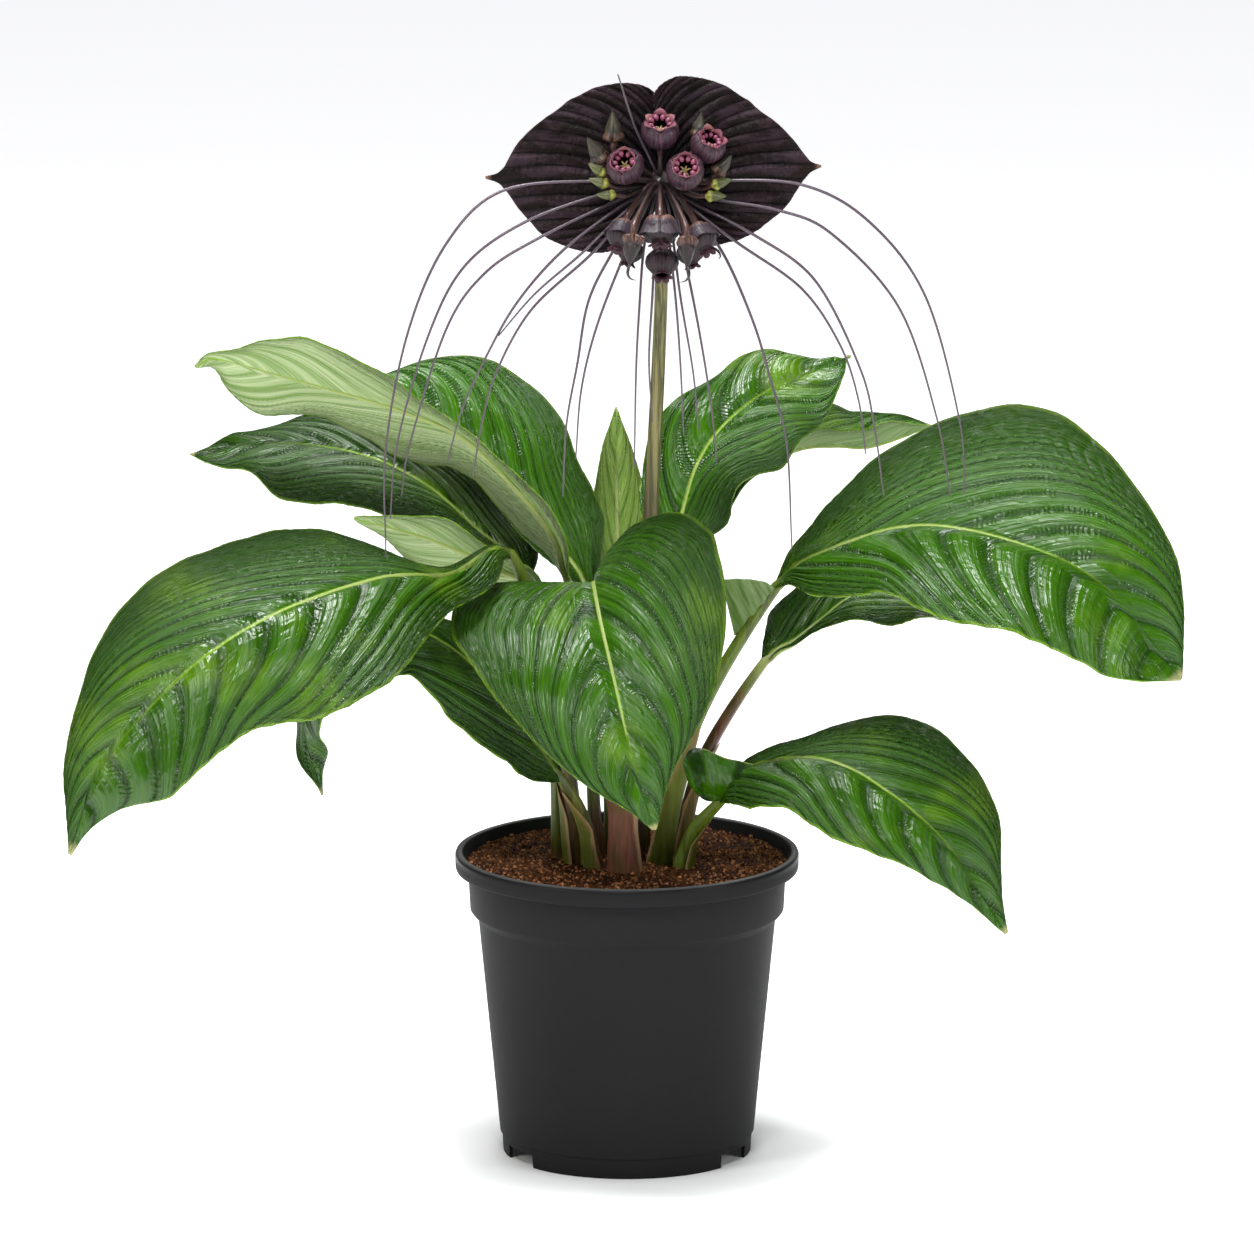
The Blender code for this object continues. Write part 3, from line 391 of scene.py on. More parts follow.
soil_edge = wall_radius(SOIL_TOP) - WALL - GAP
soil_profile = [(share * soil_edge, SOIL_TOP) for share in np.linspace(0, 1, CAKE_RINGS)]
soil_profile += [
    (BAND_TOP_RADIUS - WALL - GAP, BAND_TOP + GAP), (BAND_LOW_RADIUS - WALL - GAP, BAND_LOW + 0.4 + GAP),
    (BODY_TOP_RADIUS - WALL - GAP, BODY_TOP + 0.4 + GAP),
    (wall_radius(FLOOR_TOP) - WALL - GAP, FLOOR_TOP + GAP), (0, FLOOR_TOP + GAP),
]
cake = turned(soil_profile, CAKE_STEPS)
for row in cake[1:CAKE_RINGS - 1]:
    for point in row:
        spot = Vector(point) / MM
        for pitch, layer, height in LUMPS:
            point[2] += noise.noise(Vector((spot.x / pitch, spot.y / pitch, layer))) * height * MM

peat = Paint("potting_soil", {"Specular IOR Level": 0.05})
clods = peat.cloud(peat.place, 420.0, 4.0, 0.7)
damp = peat.ramp(peat.cloud(peat.place, 38.0, 2.0), 0.45, 0.62)
earth = peat.blend(peat.ramp(clods, 0.35, 0.70), tone(34, 18, 10), tone(112, 70, 44))
peat.colour(peat.blend(damp, earth, tone(46, 25, 14)))
peat.roughness(0.95 - 0.25 * damp)
peat.relief((clods, 1.2))

crumb_paint = Paint("soil_crumbs", {"Roughness": 0.92, "Specular IOR Level": 0.08})
tint = crumb_paint.value("tint")
fibre = crumb_paint.cloud(crumb_paint.place, 1500.0, 3.0, 0.7)
crumb = crumb_paint.blend(tint ** 1.8, tone(50, 27, 15), tone(190, 128, 88))
crumb_paint.colour(crumb_paint.blend(crumb_paint.ramp(tint, 0.985, 0.99), crumb, tone(168, 128, 92)))
crumb_paint.relief((fibre, 0.35))

soil = Shell().add(cake, wrap=True).make("soil_cake", [peat])


class Tree:
    """A Geometry Nodes tree on one object, and the one way in which its nodes are added."""

    def __init__(self, name, sizes):
        self.group = bpy.data.node_groups.new(name, "GeometryNodeTree")
        face = self.group.interface
        face.new_socket("Geometry", in_out="INPUT", socket_type="NodeSocketGeometry")
        kinds = {float: "NodeSocketFloat", int: "NodeSocketInt"}
        self.sizes = sizes
        for key, value in sizes.items():
            face.new_socket(key, in_out="INPUT", socket_type=kinds[type(value)])
        face.new_socket("Geometry", in_out="OUTPUT", socket_type="NodeSocketGeometry")
        self.source = self.group.nodes.new("NodeGroupInput").outputs
        self.end = self.group.nodes.new("NodeGroupOutput").inputs[0]

    def node(self, kind, settings, values, out=0):
        made = self.group.nodes.new(kind)
        for name, value in settings.items():
            setattr(made, name, value)
        for name, value in values.items():
            if isinstance(value, bpy.types.NodeSocket):
                self.group.links.new(value, made.inputs[name])
            else:
                made.inputs[name].default_value = value
        return made.outputs[out]

    def maths(self, operation, *values):
        return self.node("ShaderNodeMath", {"operation": operation}, dict(enumerate(values)))

    def scaled(self, vector, size):
        return self.node("ShaderNodeVectorMath", {"operation": "SCALE"}, {0: vector, "Scale": size})

    def above(self, vector, height):
        """Whether a vector's Z is greater than a number."""
        z = self.node("ShaderNodeSeparateXYZ", {}, {0: vector}, "Z")
        return self.node("FunctionNodeCompare", {"operation": "GREATER_THAN"}, {"A": z, "B": height})

    def random(self, seed, low=0.0, high=1.0):
        """A random number for each copy, or a vector where low and high are vectors."""
        if isinstance(low, tuple):
            values = {0: low, 1: high, "Seed": seed}
            return self.node("FunctionNodeRandomValue", {"data_type": "FLOAT_VECTOR"}, values)
        values = {2: low, 3: high, "Seed": seed}
        return self.node("FunctionNodeRandomValue", {"data_type": "FLOAT"}, values, 1)

    def stored(self, geometry, domain, name, value):
        """The geometry with a number kept on it for its paint."""
        settings = {"data_type": "FLOAT", "domain": domain}
        values = {"Geometry": geometry, "Name": name, "Value": value}
        return self.node("GeometryNodeStoreNamedAttribute", settings, values)

    def finish(self, geometry, paint):
        """Ends the tree in one real mesh that wears the paint."""
        real = self.node("GeometryNodeRealizeInstances", {}, {"Geometry": geometry})
        worn = self.node("GeometryNodeSetMaterial", {}, {"Geometry": real, "Material": paint.material})
        self.group.links.new(worn, self.end)

    def run(self, obj, paint=None, **sizes):
        """Runs the tree on the object and leaves a plain mesh, in another paint where one is given."""
        grow = obj.modifiers.new(self.group.name, "NODES")
        grow.node_group = self.group
        for item in self.group.interface.items_tree:
            if item.in_out == "INPUT" and item.name in self.sizes:
                key = item.name.replace(" ", "_").lower()
                grow[item.identifier] = sizes.get(key, self.sizes[item.name])
        made = baked(obj)
        if paint is not None:
            made.data.materials.clear()
            made.data.materials.append(paint.material)
        return made


strewn = Tree("strewn_crumbs", {
    "Density": CRUMBS, "Smallest": CRUMB_SIZE[0] * MM, "Largest": CRUMB_SIZE[1] * MM, "Seed": 7})
facing_up = strewn.above(strewn.node("GeometryNodeInputNormal", {}, {}), CRUMB_SLOPE)
near_top = strewn.above(strewn.node("GeometryNodeInputPosition", {}, {}), (SOIL_TOP - CRUMB_DEPTH) * MM)
on_top = strewn.node("FunctionNodeBooleanMath", {"operation": "AND"}, {0: facing_up, 1: near_top})
points = strewn.node("GeometryNodeDistributePointsOnFaces", {}, {
    "Mesh": strewn.source["Geometry"], "Selection": on_top, "Density": strewn.source["Density"],
    "Seed": strewn.source["Seed"]})
pebble = strewn.node("GeometryNodeMeshIcoSphere", {}, {"Radius": 0.5, "Subdivisions": 1})
dent = strewn.node("ShaderNodeTexNoise", {}, {"Scale": 1.3}, "Color")
dent = strewn.node("ShaderNodeVectorMath", {"operation": "SUBTRACT"}, {0: dent, 1: (0.5, 0.5, 0.5)})
pebble = strewn.node("GeometryNodeSetPosition", {}, {"Geometry": pebble, "Offset": dent})
spin = strewn.random(3, (0.0, 0.0, 0.0), (TAU, TAU, TAU))
girth = strewn.random(5, strewn.source["Smallest"], strewn.source["Largest"])
girth = strewn.scaled(strewn.random(9, (0.7, 0.6, 0.5), (1.7, 1.1, 1.0)), girth)
crumbs = strewn.node("GeometryNodeInstanceOnPoints", {}, {
    "Points": points, "Instance": pebble, "Rotation": spin, "Scale": girth})
strewn.finish(strewn.stored(crumbs, "INSTANCE", "tint", strewn.random(21)), crumb_paint)
crumbs = strewn.run(new_object("soil_crumbs", soil.data.copy()))
grown(soil, "soil", "soil")
grown(crumbs, "soil", "soil")


# The leaves
# Thirteen leaves come straight from the rootstock, each a stalk and one thin glossy blade. The side veins
# run forward in long arcs, sunk between raised pleats, and the underside is pale and matt with raised ribs.

STALK_DEPTH = 24.0
STALK_LEAN = 0.30
# Half-widths of the blades are given at these shares of the way from base to tip
STATIONS = (0, 0.08, 0.16, 0.26, 0.38, 0.50, 0.62, 0.74, 0.84, 0.92, 0.965, 1)
# Each leaf: foot is where its stalk leaves the soil, rib the line of the midrib from the blade's base to
# its tip, left and right the half-widths on the two sides of the way it grows. roll turns the blade about
# its rib at the base and the tip, and twist turns it further towards the tip, from its share on. fold lifts
# the halves, droop drops their margins, lobe carries the margins' feet back, wave is the height and number
# of the margin's waves, and flush how far up the stalk its brown foot reaches. steep names the half whose
# side veins stand steep on the rib between wide, deep pleats, veins is how many side veins leave the rib
# where the leaf's length doesn't say, and lush runs from 0 for a dark leaf to 1 for a bright one.

LEAVES = {
    "leaf_front_left": dict(
        foot=(-29, -3), stalk=5.0, roll=(28, 42), fold=(0, 0), droop=0.26, wave=(3.0, 3.3),
        flush=0.14, steep=-1, lush=0.35,
        left=(3, 17, 22, 40, 61, 64, 47, 43, 36, 13, 4, 1),
        right=(2, 5, 14, 44, 65, 70, 64, 52, 30, 13, 6, 1),
        rib=((-64, -17, 341), (-96, -46, 336), (-133, -82, 342), (-186, -115, 331), (-227, -134, 310),
             (-260, -143, 280), (-286, -148, 246), (-301, -149, 203)),
    ),
    "leaf_front": dict(
        foot=(-1, -24), stalk=7.4, roll=(-32, -6), fold=(30, -4), droop=0.12, wave=(2.5, 2.2), lobe=(4, -18),
        flush=0.34, lush=0.45, veins=4.6,
        left=(4, 64, 80, 79, 72, 62, 51, 35, 20, 10, 5, 1),
        right=(4, 53, 78, 85, 77, 68, 54, 38, 23, 10, 5, 1),
        rib=((-18, -18, 322), (-15, -54, 314), (-7, -87, 286), (3, -109, 247), (15, -116, 209)),
    ),
    "leaf_low_left": dict(
        foot=(-19, -15), stalk=4.8, roll=(36, 30), fold=(12, 12), droop=0.25, wave=(3.0, 3.1),
        twist=(0.84, 120), flush=0.15, steep=-1, lush=0.25,
        left=(3, 25, 35, 41, 42, 38, 31, 22, 14, 9, 5, 1),
        right=(2, 12, 17, 19, 20, 18, 15, 11, 9, 7, 4, 1),
        rib=((-36, -28, 217), (-63, -38, 256), (-91, -43, 290), (-124, -46, 306), (-156, -49, 290),
             (-176, -50, 256), (-167, -46, 212)),
    ),
    "leaf_high_left": dict(
        foot=(-17, 10), stalk=3.8, roll=(-44, -54), fold=(12, 12), droop=0.22, wave=(2.5, 2.8), lush=0.0,
        left=(3, 9, 11, 10, 10, 15, 34, 43, 26, 9, 4, 1),
        right=(5, 24, 27, 27, 38, 43, 34, 31, 37, 22, 7, 1),
        rib=((-33, 4, 322), (-42, 6, 350), (-71, 12, 383), (-93, 17, 401), (-125, 25, 413), (-157, 33, 421),
             (-195, 41, 430), (-227, 47, 437), (-238, 49, 432)),
    ),
    "leaf_back_left": dict(
        foot=(-8, 20), stalk=4.0, roll=(40, 36), fold=(14, 14), droop=0.30, wave=(2.5, 2.6), lush=0.9,
        left=(3, 8, 11, 12, 12, 12, 12, 11, 9, 6, 3, 1),
        right=(4, 18, 34, 41, 45, 56, 60, 55, 39, 22, 9, 1),
        rib=((-22, 22, 312), (-48, 41, 343), (-77, 60, 374), (-109, 75, 395), (-151, 88, 415)),
    ),
    "leaf_mid_left": dict(
        foot=(-27, 14), stalk=3.8, roll=(26, 22), fold=(10, 10), droop=0.25, wave=(3.0, 3.0),
        twist=(0.88, -30), lush=0.0,
        left=(3, 8, 9, 14, 35, 45, 46, 45, 26, 18, 11, 1),
        right=(5, 28, 39, 41, 34, 33, 37, 27, 21, 21, 13, 1),
        rib=((-56, 50, 312), (-85, 60, 340), (-112, 69, 362), (-148, 78, 377), (-195, 88, 381),
             (-243, 96, 373)),
    ),
    "leaf_inner_left": dict(
        foot=(-38, 7), stalk=3.4, roll=(-56, -60), fold=(12, 12), droop=0.2, wave=(1.5, 2.4), lush=0.0,
        left=(3, 8, 10, 11, 13, 17, 17, 13, 9, 5, 3, 1),
        right=(4, 18, 30, 36, 38, 34, 27, 17, 9, 5, 3, 1),
        rib=((-48, -2, 312), (-72, 0, 329), (-107, 0, 345), (-150, 1, 357)),
    ),
    "leaf_young": dict(
        foot=(-4, 31), stalk=3.2, roll=(0, 0), fold=(24, 24), droop=0.1, wave=(1.0, 2.0),
        left=(2, 9, 14, 17, 19, 18, 14, 11, 8, 4, 2, 0.5),
        right=(2, 9, 14, 17, 19, 19, 16, 12, 8, 4, 2, 0.5),
        rib=((-5, 68, 287), (-5.5, 71, 332), (-6, 74, 375), (-6, 76, 404)),
    ),
    "leaf_back_right": dict(
        foot=(8, 19), stalk=3.8, roll=(-34, -30), fold=(14, 14), droop=0.28, wave=(4.5, 3.2),
        twist=(0.95, 80), steep=-1, lush=0.6,
        left=(3, 15, 24, 31, 35, 32, 31, 27, 15, 7, 4, 1),
        right=(3, 13, 25, 28, 35, 43, 43, 38, 30, 18, 8, 1),
        rib=((24, 20, 326), (31, 30, 356), (40, 40, 382), (57, 54, 402), (84, 70, 418), (124, 84, 431)),
    ),
    "leaf_far_right": dict(
        foot=(20, 21), stalk=3.8, roll=(-22, 15), fold=(14, 60), droop=0.10, wave=(2.0, 3.6), lush=0.7,
        left=(3, 10, 14, 17, 22, 27, 30, 30, 26, 15, 7, 1),
        right=(3, 8, 10, 12, 14, 17, 19, 19, 16, 10, 5, 1),
        rib=((36, 42, 322), (48, 56, 346), (70, 72, 368), (95, 84, 379), (117, 92, 379), (136, 99, 377),
             (170, 110, 386)),
    ),
    "leaf_right": dict(
        foot=(18, -6), stalk=5.0, roll=(-36, -40), fold=(14, 14), droop=0.12, wave=(3.0, 3.0),
        flush=0.08, steep=1, lush=0.55,
        left=(3, 16, 30, 56, 79, 85, 75, 53, 36, 21, 11, 1),
        right=(4, 30, 44, 54, 64, 69, 67, 61, 47, 34, 18, 1),
        rib=((82, -10, 321), (106, -16, 341), (157, -32, 360), (211, -56, 356), (259, -76, 336),
             (301, -88, 286)),
    ),
    "leaf_under_right": dict(
        foot=(28, 8), stalk=4.4, roll=(-24, -10), fold=(18, 18), droop=0.25, wave=(2.0, 3.0), flush=0.5,
        left=(3, 13, 24, 31, 33, 34, 30, 26, 20, 11, 5, 1),
        right=(2, 3, 4, 6, 20, 40, 50, 48, 33, 18, 8, 1),
        rib=((76, 12, 274), (92, 20, 284), (108, 28, 295), (125, 36, 306), (149, 46, 308), (181, 58, 289)),
    ),
    "leaf_low_right": dict(
        foot=(31, -14), stalk=4.8, roll=(-26, -38), fold=(14, 14), droop=0.25, wave=(2.5, 3.2), flush=0.02,
        steep=1, lush=0.4,
        left=(3, 8, 10, 20, 40, 53, 52, 39, 23, 11, 5, 1),
        right=(4, 24, 34, 42, 46, 46, 40, 25, 14, 7, 4, 1),
        rib=((52, -28, 205), (67, -40, 226), (103, -60, 236), (135, -76, 226), (173, -90, 196),
             (207, -96, 146)),
    ),
}
# What a leaf has where its own line doesn't say
USUAL = dict(twist=(0.8, 0), lobe=(0, 0), steep=0, flush=0.12, lush=0.4)
LEAVES = {name: {**USUAL, **leaf} for name, leaf in LEAVES.items()}


SPANS = 8


def smooth(points, spans=SPANS):
    """A polyline along a Catmull-Rom curve through the points, with this many steps between two."""
    p = [Vector(q) for q in points]
    p = [2 * p[0] - p[1], *p, 2 * p[-1] - p[-2]]
    line = []
    for i in range(1, len(p) - 2):
        for step in range(spans):
            t = step / spans
            a = -t + 2 * t**2 - t**3
            b = 2 - 5 * t**2 + 3 * t**3
            c = t + 4 * t**2 - 3 * t**3
            d = t**3 - t**2
            line.append(0.5 * (a * p[i - 1] + b * p[i] + c * p[i + 1] + d * p[i + 2]))
    line.append(p[-2])
    return line


class Line:
    """A polyline that is read by the share of its length."""

    def __init__(self, points):
        self.points = points
        steps = [(b - a).length for a, b in zip(points, points[1:])]
        self.at_point = np.concatenate([[0.0], np.cumsum(steps)])
        self.length = self.at_point[-1]

    def at(self, share):
        where = share * self.length
        i = int(np.clip(np.searchsorted(self.at_point, where) - 1, 0, len(self.points) - 2))
        t = (where - self.at_point[i]) / (self.at_point[i + 1] - self.at_point[i])
        return self.points[i].lerp(self.points[i + 1], t)

    def tangent(self, share, reach=0.03):
        return (self.at(min(share + reach, 1)) - self.at(max(share - reach, 0))).normalized()


def read(table, where, column=1):
    """A smooth reading of one column of a table whose rows start with their place."""
    table = np.array(table, dtype=float)
    places, values = table[:, 0], table[:, column]
    slopes = np.gradient(values, places)
    i = np.clip(np.searchsorted(places, where) - 1, 0, len(places) - 2)
    step = places[i + 1] - places[i]
    t = np.clip((where - places[i]) / step, 0, 1)
    start = (2 * t**3 - 3 * t**2 + 1) * values[i] + (t**3 - 2 * t**2 + t) * step * slopes[i]
    return start + (3 * t**2 - 2 * t**3) * values[i + 1] + (t**3 - t**2) * step * slopes[i + 1]


def bump(where, height, at, width):
    """A soft rise of a height at one place. It is almost 0 at twice its width from there."""
    return height * np.exp(-(((where - at) / width) ** 2))


BLADE_THICK = 0.8
# How far ahead of its foot a side vein meets the margin, and how it bends, on a plain and on a steep half
VEIN_REACH, VEIN_BEND = 0.80, 0.95
STEEP_REACH, STEEP_BEND = 0.46, 1.7
# The side veins are counted from the first number, so that none lies below 0. On the right half they leave
# the rib further back by the second, as a share of their pitch, and all stray by the third.
FIRST_VEIN, VEIN_SHIFT, VEIN_STRAY = 40, 0.42, 0.10
PLEAT_PITCH, PLEAT_DEPTH, STEEP_DEPTH = 29.0, 1.9, 3.8
# Pleats rise to their full depth over the first share of the way from the rib to the margin, and are
# shallower on a half narrower than the second and on a leaf whose right half is narrower than the third
PLEAT_START, PLEAT_HALF, PLEAT_LEAF = 0.14, 14.0, 55.0
PLEAT_ROUNDNESS = 0.75
# The scallops of a steep half's margin, and the share of the way to the tip at which they end
SCALLOP, SCALLOP_END = 0.22, 0.35
FRILL_HEIGHT, FRILL_PITCH = 0.5, 26.0
# The waves and the frill are lower on a half narrower than this, and out of step on the two margins
SLACK_HALF = 20.0
WAVE_SHIFT, FRILL_SHIFT = 0.21, 0.3
GROOVE_DEPTH, GROOVE_WIDTH = 0.9, 2.0
# The length of a blade's row of faces, and the number of faces across it
ROW_PITCH, BLADE_COLUMNS = 2.5, 86


def leaf_lines(leaf):
    """The stalk's line from the soil's surface to the blade, and the midrib's line on to the tip."""
    foot = Vector((*leaf["foot"], SOIL_TOP + 2))
    base = Vector(leaf["rib"][0])
    lean = foot.lerp(base, 0.5)
    lean.x = foot.x + STALK_LEAN * (base.x - foot.x)
    lean.y = foot.y + STALK_LEAN * (base.y - foot.y)
    line = smooth([foot, lean, *leaf["rib"]])
    start = 2 * SPANS
    return Line(line[:start + 1]), Line(line[start:])


def blade_frame(leaf, rib, share):
    """The point of the midrib, the direction across the blade and the one out of its upper face."""
    base, tip = rib.at(0), rib.at(1)
    heading = Vector((tip.x - base.x, tip.y - base.y, 0)).normalized()
    along = rib.tangent(share)
    across = Vector((heading.y, -heading.x, 0))
    across = (across - along * across.dot(along)).normalized()
    start, turn = leaf["twist"]
    near_tip = max(0.0, (share - start) / (1 - start))
    turn *= near_tip**2 * (3 - 2 * near_tip)
    roll = math.radians(leaf["roll"][0] + share * (leaf["roll"][1] - leaf["roll"][0]) + turn)
    across = Matrix.Rotation(-roll, 3, along) @ across
    return rib.at(share), across, across.cross(along)


def blade_row(leaf, rib, share, side, number):
    """One row of the blade's points, with where each lies among the side veins and its way from the rib."""
    point, across, out = blade_frame(leaf, rib, share)
    left, right = (max(0.5, read(list(zip(STATIONS, leaf[hand])), share)) for hand in ("left", "right"))
    half = np.where(side > 0, right, left)
    edge = np.abs(side)
    hand = np.sign(side)
    fold = math.radians(leaf["fold"][0] + share * (leaf["fold"][1] - leaf["fold"][0]))
    height, count = leaf["wave"]
    slack = np.minimum(1, half / SLACK_HALF)
    turns = count * share + WAVE_SHIFT * hand
    wave = height * edge**2.5 * np.sin(TAU * turns) * slack
    turns = rib.length / FRILL_PITCH * share + FRILL_SHIFT * hand
    frill = FRILL_HEIGHT * edge**5 * np.sin(TAU * turns) * slack
    steep = hand * leaf["steep"] > 0
    reach = np.where(steep, STEEP_REACH * edge**STEEP_BEND, VEIN_REACH * edge**VEIN_BEND)
    vein = (share - reach) / (1 - reach) * number + VEIN_SHIFT * np.clip(edge / 0.1, 0, 1) * (side > 0)
    vein += FIRST_VEIN + VEIN_STRAY * np.sin(share * 9 + hand)
    ridge = np.abs(np.sin(np.pi * vein)) ** PLEAT_ROUNDNESS
    depth = np.where(steep, STEEP_DEPTH, PLEAT_DEPTH) * min(1, max(leaf["right"]) / PLEAT_LEAF)
    depth = depth * np.minimum(1, half / PLEAT_HALF)
    depth = depth * np.clip(edge / PLEAT_START, 0, 1) * np.clip((1.12 - edge) / 0.4, 0, 1)
    scallop = np.where(steep, SCALLOP * max(0, SCALLOP_END - share), 0)
    half = half * (1 + scallop * (ridge - 0.5) * edge**3)
    groove = -bump(edge * half, GROOVE_DEPTH, 0, GROOVE_WIDTH) * (1 - share)
    arch = half * (edge * math.sin(fold) - leaf["droop"] * edge**2)
    rise = arch + wave + frill + depth * (ridge - 0.5) + groove
    lobe = np.where(side > 0, *leaf["lobe"][::-1]) * edge**1.4 * (1 - share) ** 3
    row = np.array(point) + np.outer(side * half * math.cos(fold), across) + np.outer(rise, out)
    row = row + np.outer(lobe, out.cross(across))
    return row * MM, vein, edge * half


def make_blade(name, leaf, rib, materials):
    rows = int(rib.length / ROW_PITCH)
    even = np.linspace(-1, 1, BLADE_COLUMNS + 1)
    side = np.sign(even) * np.abs(even) ** 1.3
    number = leaf.get("veins", max(4.0, rib.length / PLEAT_PITCH))
    made = [blade_row(leaf, rib, share, side, number) for share in np.linspace(0, 1, rows)]
    grid, vein, span = (np.array(part) for part in zip(*made))
    blade = Shell().add(grid, thick=BLADE_THICK * MM, slots=(0, 1), across=side[None, :], vein=vein,
                        span=span, lush=leaf["lush"])
    return blade.make(name, materials)


def leaf_paints(name, low, high, lush_low, lush_high, rib_tone, margin_tone, under_low, under_high):
    """The upper face of a blade, and its underside."""
    paints = []
    for face in ("upper", "under"):
        upper = face == "upper"
        paint = Paint(f"{name}_{face}", {
            "Specular IOR Level": 0.46 if upper else 0.2, "Subsurface Weight": 0.14,
            "Subsurface Radius": (0.5, 1.0, 0.15), "Subsurface Scale": 0.0012,
        })
        vein = paint.value("vein")
        span = paint.value("span")
        along = paint.value("along")
        lush = paint.value("lush")
        edge = paint.size_of(paint.value("across"))
        valley = paint.zigzag(vein)
        lines = paint.zigzag(vein * 6.0)
        streaks = paint.cloud(paint.joined(vein * 11.0, span * 0.014, along * 1.6), 1.0, 3.0, 0.6)
        bands = paint.cloud(paint.joined(vein * 2.6, span * 0.012, 7.0), 1.0, 2.0, 0.5)
        pucker = paint.cloud(paint.joined(vein * 1.6, span * 0.17, along * 3.0), 1.0, 2.0, 0.5, 0.6)
        patches = paint.cloud(paint.place, 17.0, 3.0, 0.6)
        rib = paint.ramp(span - 1.1 * (1.0 - along), 0.8, 0.2)
        margin = paint.ramp(edge, 0.965, 0.99)
        if upper:
            dashes = paint.cloud(paint.joined(vein * 7.0, span * 0.05, along * 9.0), 1.0, 2.0, 0.5, 0.4)
            wobble = paint.cloud(paint.place, 90.0, 2.0)
            crimp = paint.zigzag(along * 95.0 + span * 0.2 + wobble * 2.6)
            crimped = paint.ramp(paint.cloud(paint.place, 30.0, 2.0), 0.47, 0.56)
            crimped = paint.ramp(valley, 0.30, 0.10) * crimped
            drip = paint.ramp(along, 0.975, 0.995)
            dark = paint.blend(lush, low, lush_low)
            bright = paint.blend(lush, high, lush_high)
            light = 0.35 + 0.65 * paint.ramp(0.4 * bands + 0.6 * streaks, 0.30, 0.70)
            skin = paint.blend(light, dark, bright)
            skin = paint.blend(paint.ramp(patches, 0.54, 0.74) * 0.45, skin, margin_tone)
            # The grooves along the side veins are painted darker: painted shade in the pleats
            skin = paint.blend(paint.ramp(valley, 0.26, 0.0) * 0.55, skin, dark)
            skin = paint.blend(margin * 0.85, skin, margin_tone)
            skin = paint.blend(drip * 0.6, skin, tone(204, 200, 138))
            paint.colour(paint.blend(rib * paint.ramp(along, 0.88, 0.52), skin, rib_tone))
            paint.roughness(0.17 + 0.25 * paint.ramp(dashes, 0.48, 0.62) + 0.05 * patches)
            paint.relief((valley, 1.2), (lines, 0.5), (streaks, 0.8), (pucker, 1.2), (crimp * crimped, 0.8))
        else:
            skin = paint.blend(paint.ramp(0.5 * bands + 0.5 * streaks, 0.36, 0.62), under_low, under_high)
            skin = paint.blend(paint.ramp(valley, 0.10, 0.0) * 0.5, skin, under_low)
            skin = paint.blend(paint.ramp(lush, 0.0, 0.8) * 0.55, skin, high)
            skin = paint.blend(margin * 0.8, skin, margin_tone)
            paint.colour(paint.blend(rib * 0.8, skin, rib_tone))
            paint.roughness(0.46 + 0.16 * patches)
            paint.relief((1.0 - valley, 1.0), (lines, 0.3), (pucker, 0.9))
        paints.append(paint)
    return paints


grown_leaf = leaf_paints(
    "leaf", low=tone(2, 28, 0), high=tone(50, 92, 2), lush_low=tone(4, 50, 0), lush_high=tone(68, 126, 0),
    rib_tone=tone(132, 170, 44), margin_tone=tone(118, 160, 26), under_low=tone(112, 144, 70),
    under_high=tone(186, 202, 154))
young_leaf = leaf_paints(
    "young_leaf", low=tone(84, 136, 14), high=tone(172, 200, 104), lush_low=tone(84, 136, 14),
    lush_high=tone(172, 200, 104), rib_tone=tone(206, 216, 150), margin_tone=tone(130, 180, 40),
    under_low=tone(140, 176, 70), under_high=tone(206, 218, 170))

stalk_paint = Paint("leaf_stalk", {"Coat Weight": 0.12, "Coat Roughness": 0.2})
rise = stalk_paint.value("along")
strands = stalk_paint.strands(0.06, 700.0)
stripes = stalk_paint.strands(0.05, 150.0, 2.0, 0.5)
mottle = stalk_paint.strands(0.35, 60.0)
green = stalk_paint.blend(strands, tone(48, 74, 6), tone(124, 146, 34))
green = stalk_paint.blend(stalk_paint.ramp(stripes, 0.52, 0.60) * 0.6, green, tone(46, 42, 20))
brown = stalk_paint.blend(strands, tone(50, 24, 14), tone(150, 92, 66))
brown = stalk_paint.blend(stalk_paint.ramp(stripes, 0.50, 0.62) * 0.7, brown, tone(66, 58, 22))
green = stalk_paint.blend(stalk_paint.ramp(rise, 0.44, 0.58) * 0.8, green, tone(166, 182, 104))
reach_up = rise + 0.35 * (mottle - 0.5) - stalk_paint.value("flush")
stalk_paint.colour(stalk_paint.blend(stalk_paint.ramp(reach_up, 0.10, -0.10), green, brown))
stalk_paint.roughness(0.34 + 0.2 * mottle)
stalk_paint.relief((strands, 0.5), (mottle, 0.3))

# A stalk, stem or whisker is a line with a radius at each point, and the tree sweeps a ribbed round section
# along it.
swept = Tree("swept_stalk", {"Sides": 20, "Ribs": 7.0, "Rib Depth": 0.06, "Flush": 0.0})
turn = swept.maths("MULTIPLY", swept.node("GeometryNodeSplineParameter", {}, {}), TAU)
ripple = swept.maths("COSINE", swept.maths("MULTIPLY", turn, swept.source["Ribs"]))
ripple = swept.maths("MULTIPLY_ADD", ripple, swept.source["Rib Depth"], 1.0)
circle = {"Resolution": swept.source["Sides"], "Radius": MM}
section = swept.node("GeometryNodeCurvePrimitiveCircle", {}, circle)
ribbed = swept.scaled(swept.node("GeometryNodeInputPosition", {}, {}), ripple)
section = swept.node("GeometryNodeSetPosition", {}, {"Geometry": section, "Position": ribbed})
line = swept.stored(swept.source["Geometry"], "POINT", "along",
                    swept.node("GeometryNodeSplineParameter", {}, {}))
line = swept.stored(line, "POINT", "flush", swept.source["Flush"])
radius = swept.node("GeometryNodeInputRadius", {}, {})
body = swept.node("GeometryNodeCurveToMesh", {}, {
    "Curve": line, "Profile Curve": section, "Scale": radius, "Fill Caps": True})
swept.finish(swept.node("GeometryNodeSetShadeSmooth", {}, {"Geometry": body}), stalk_paint)


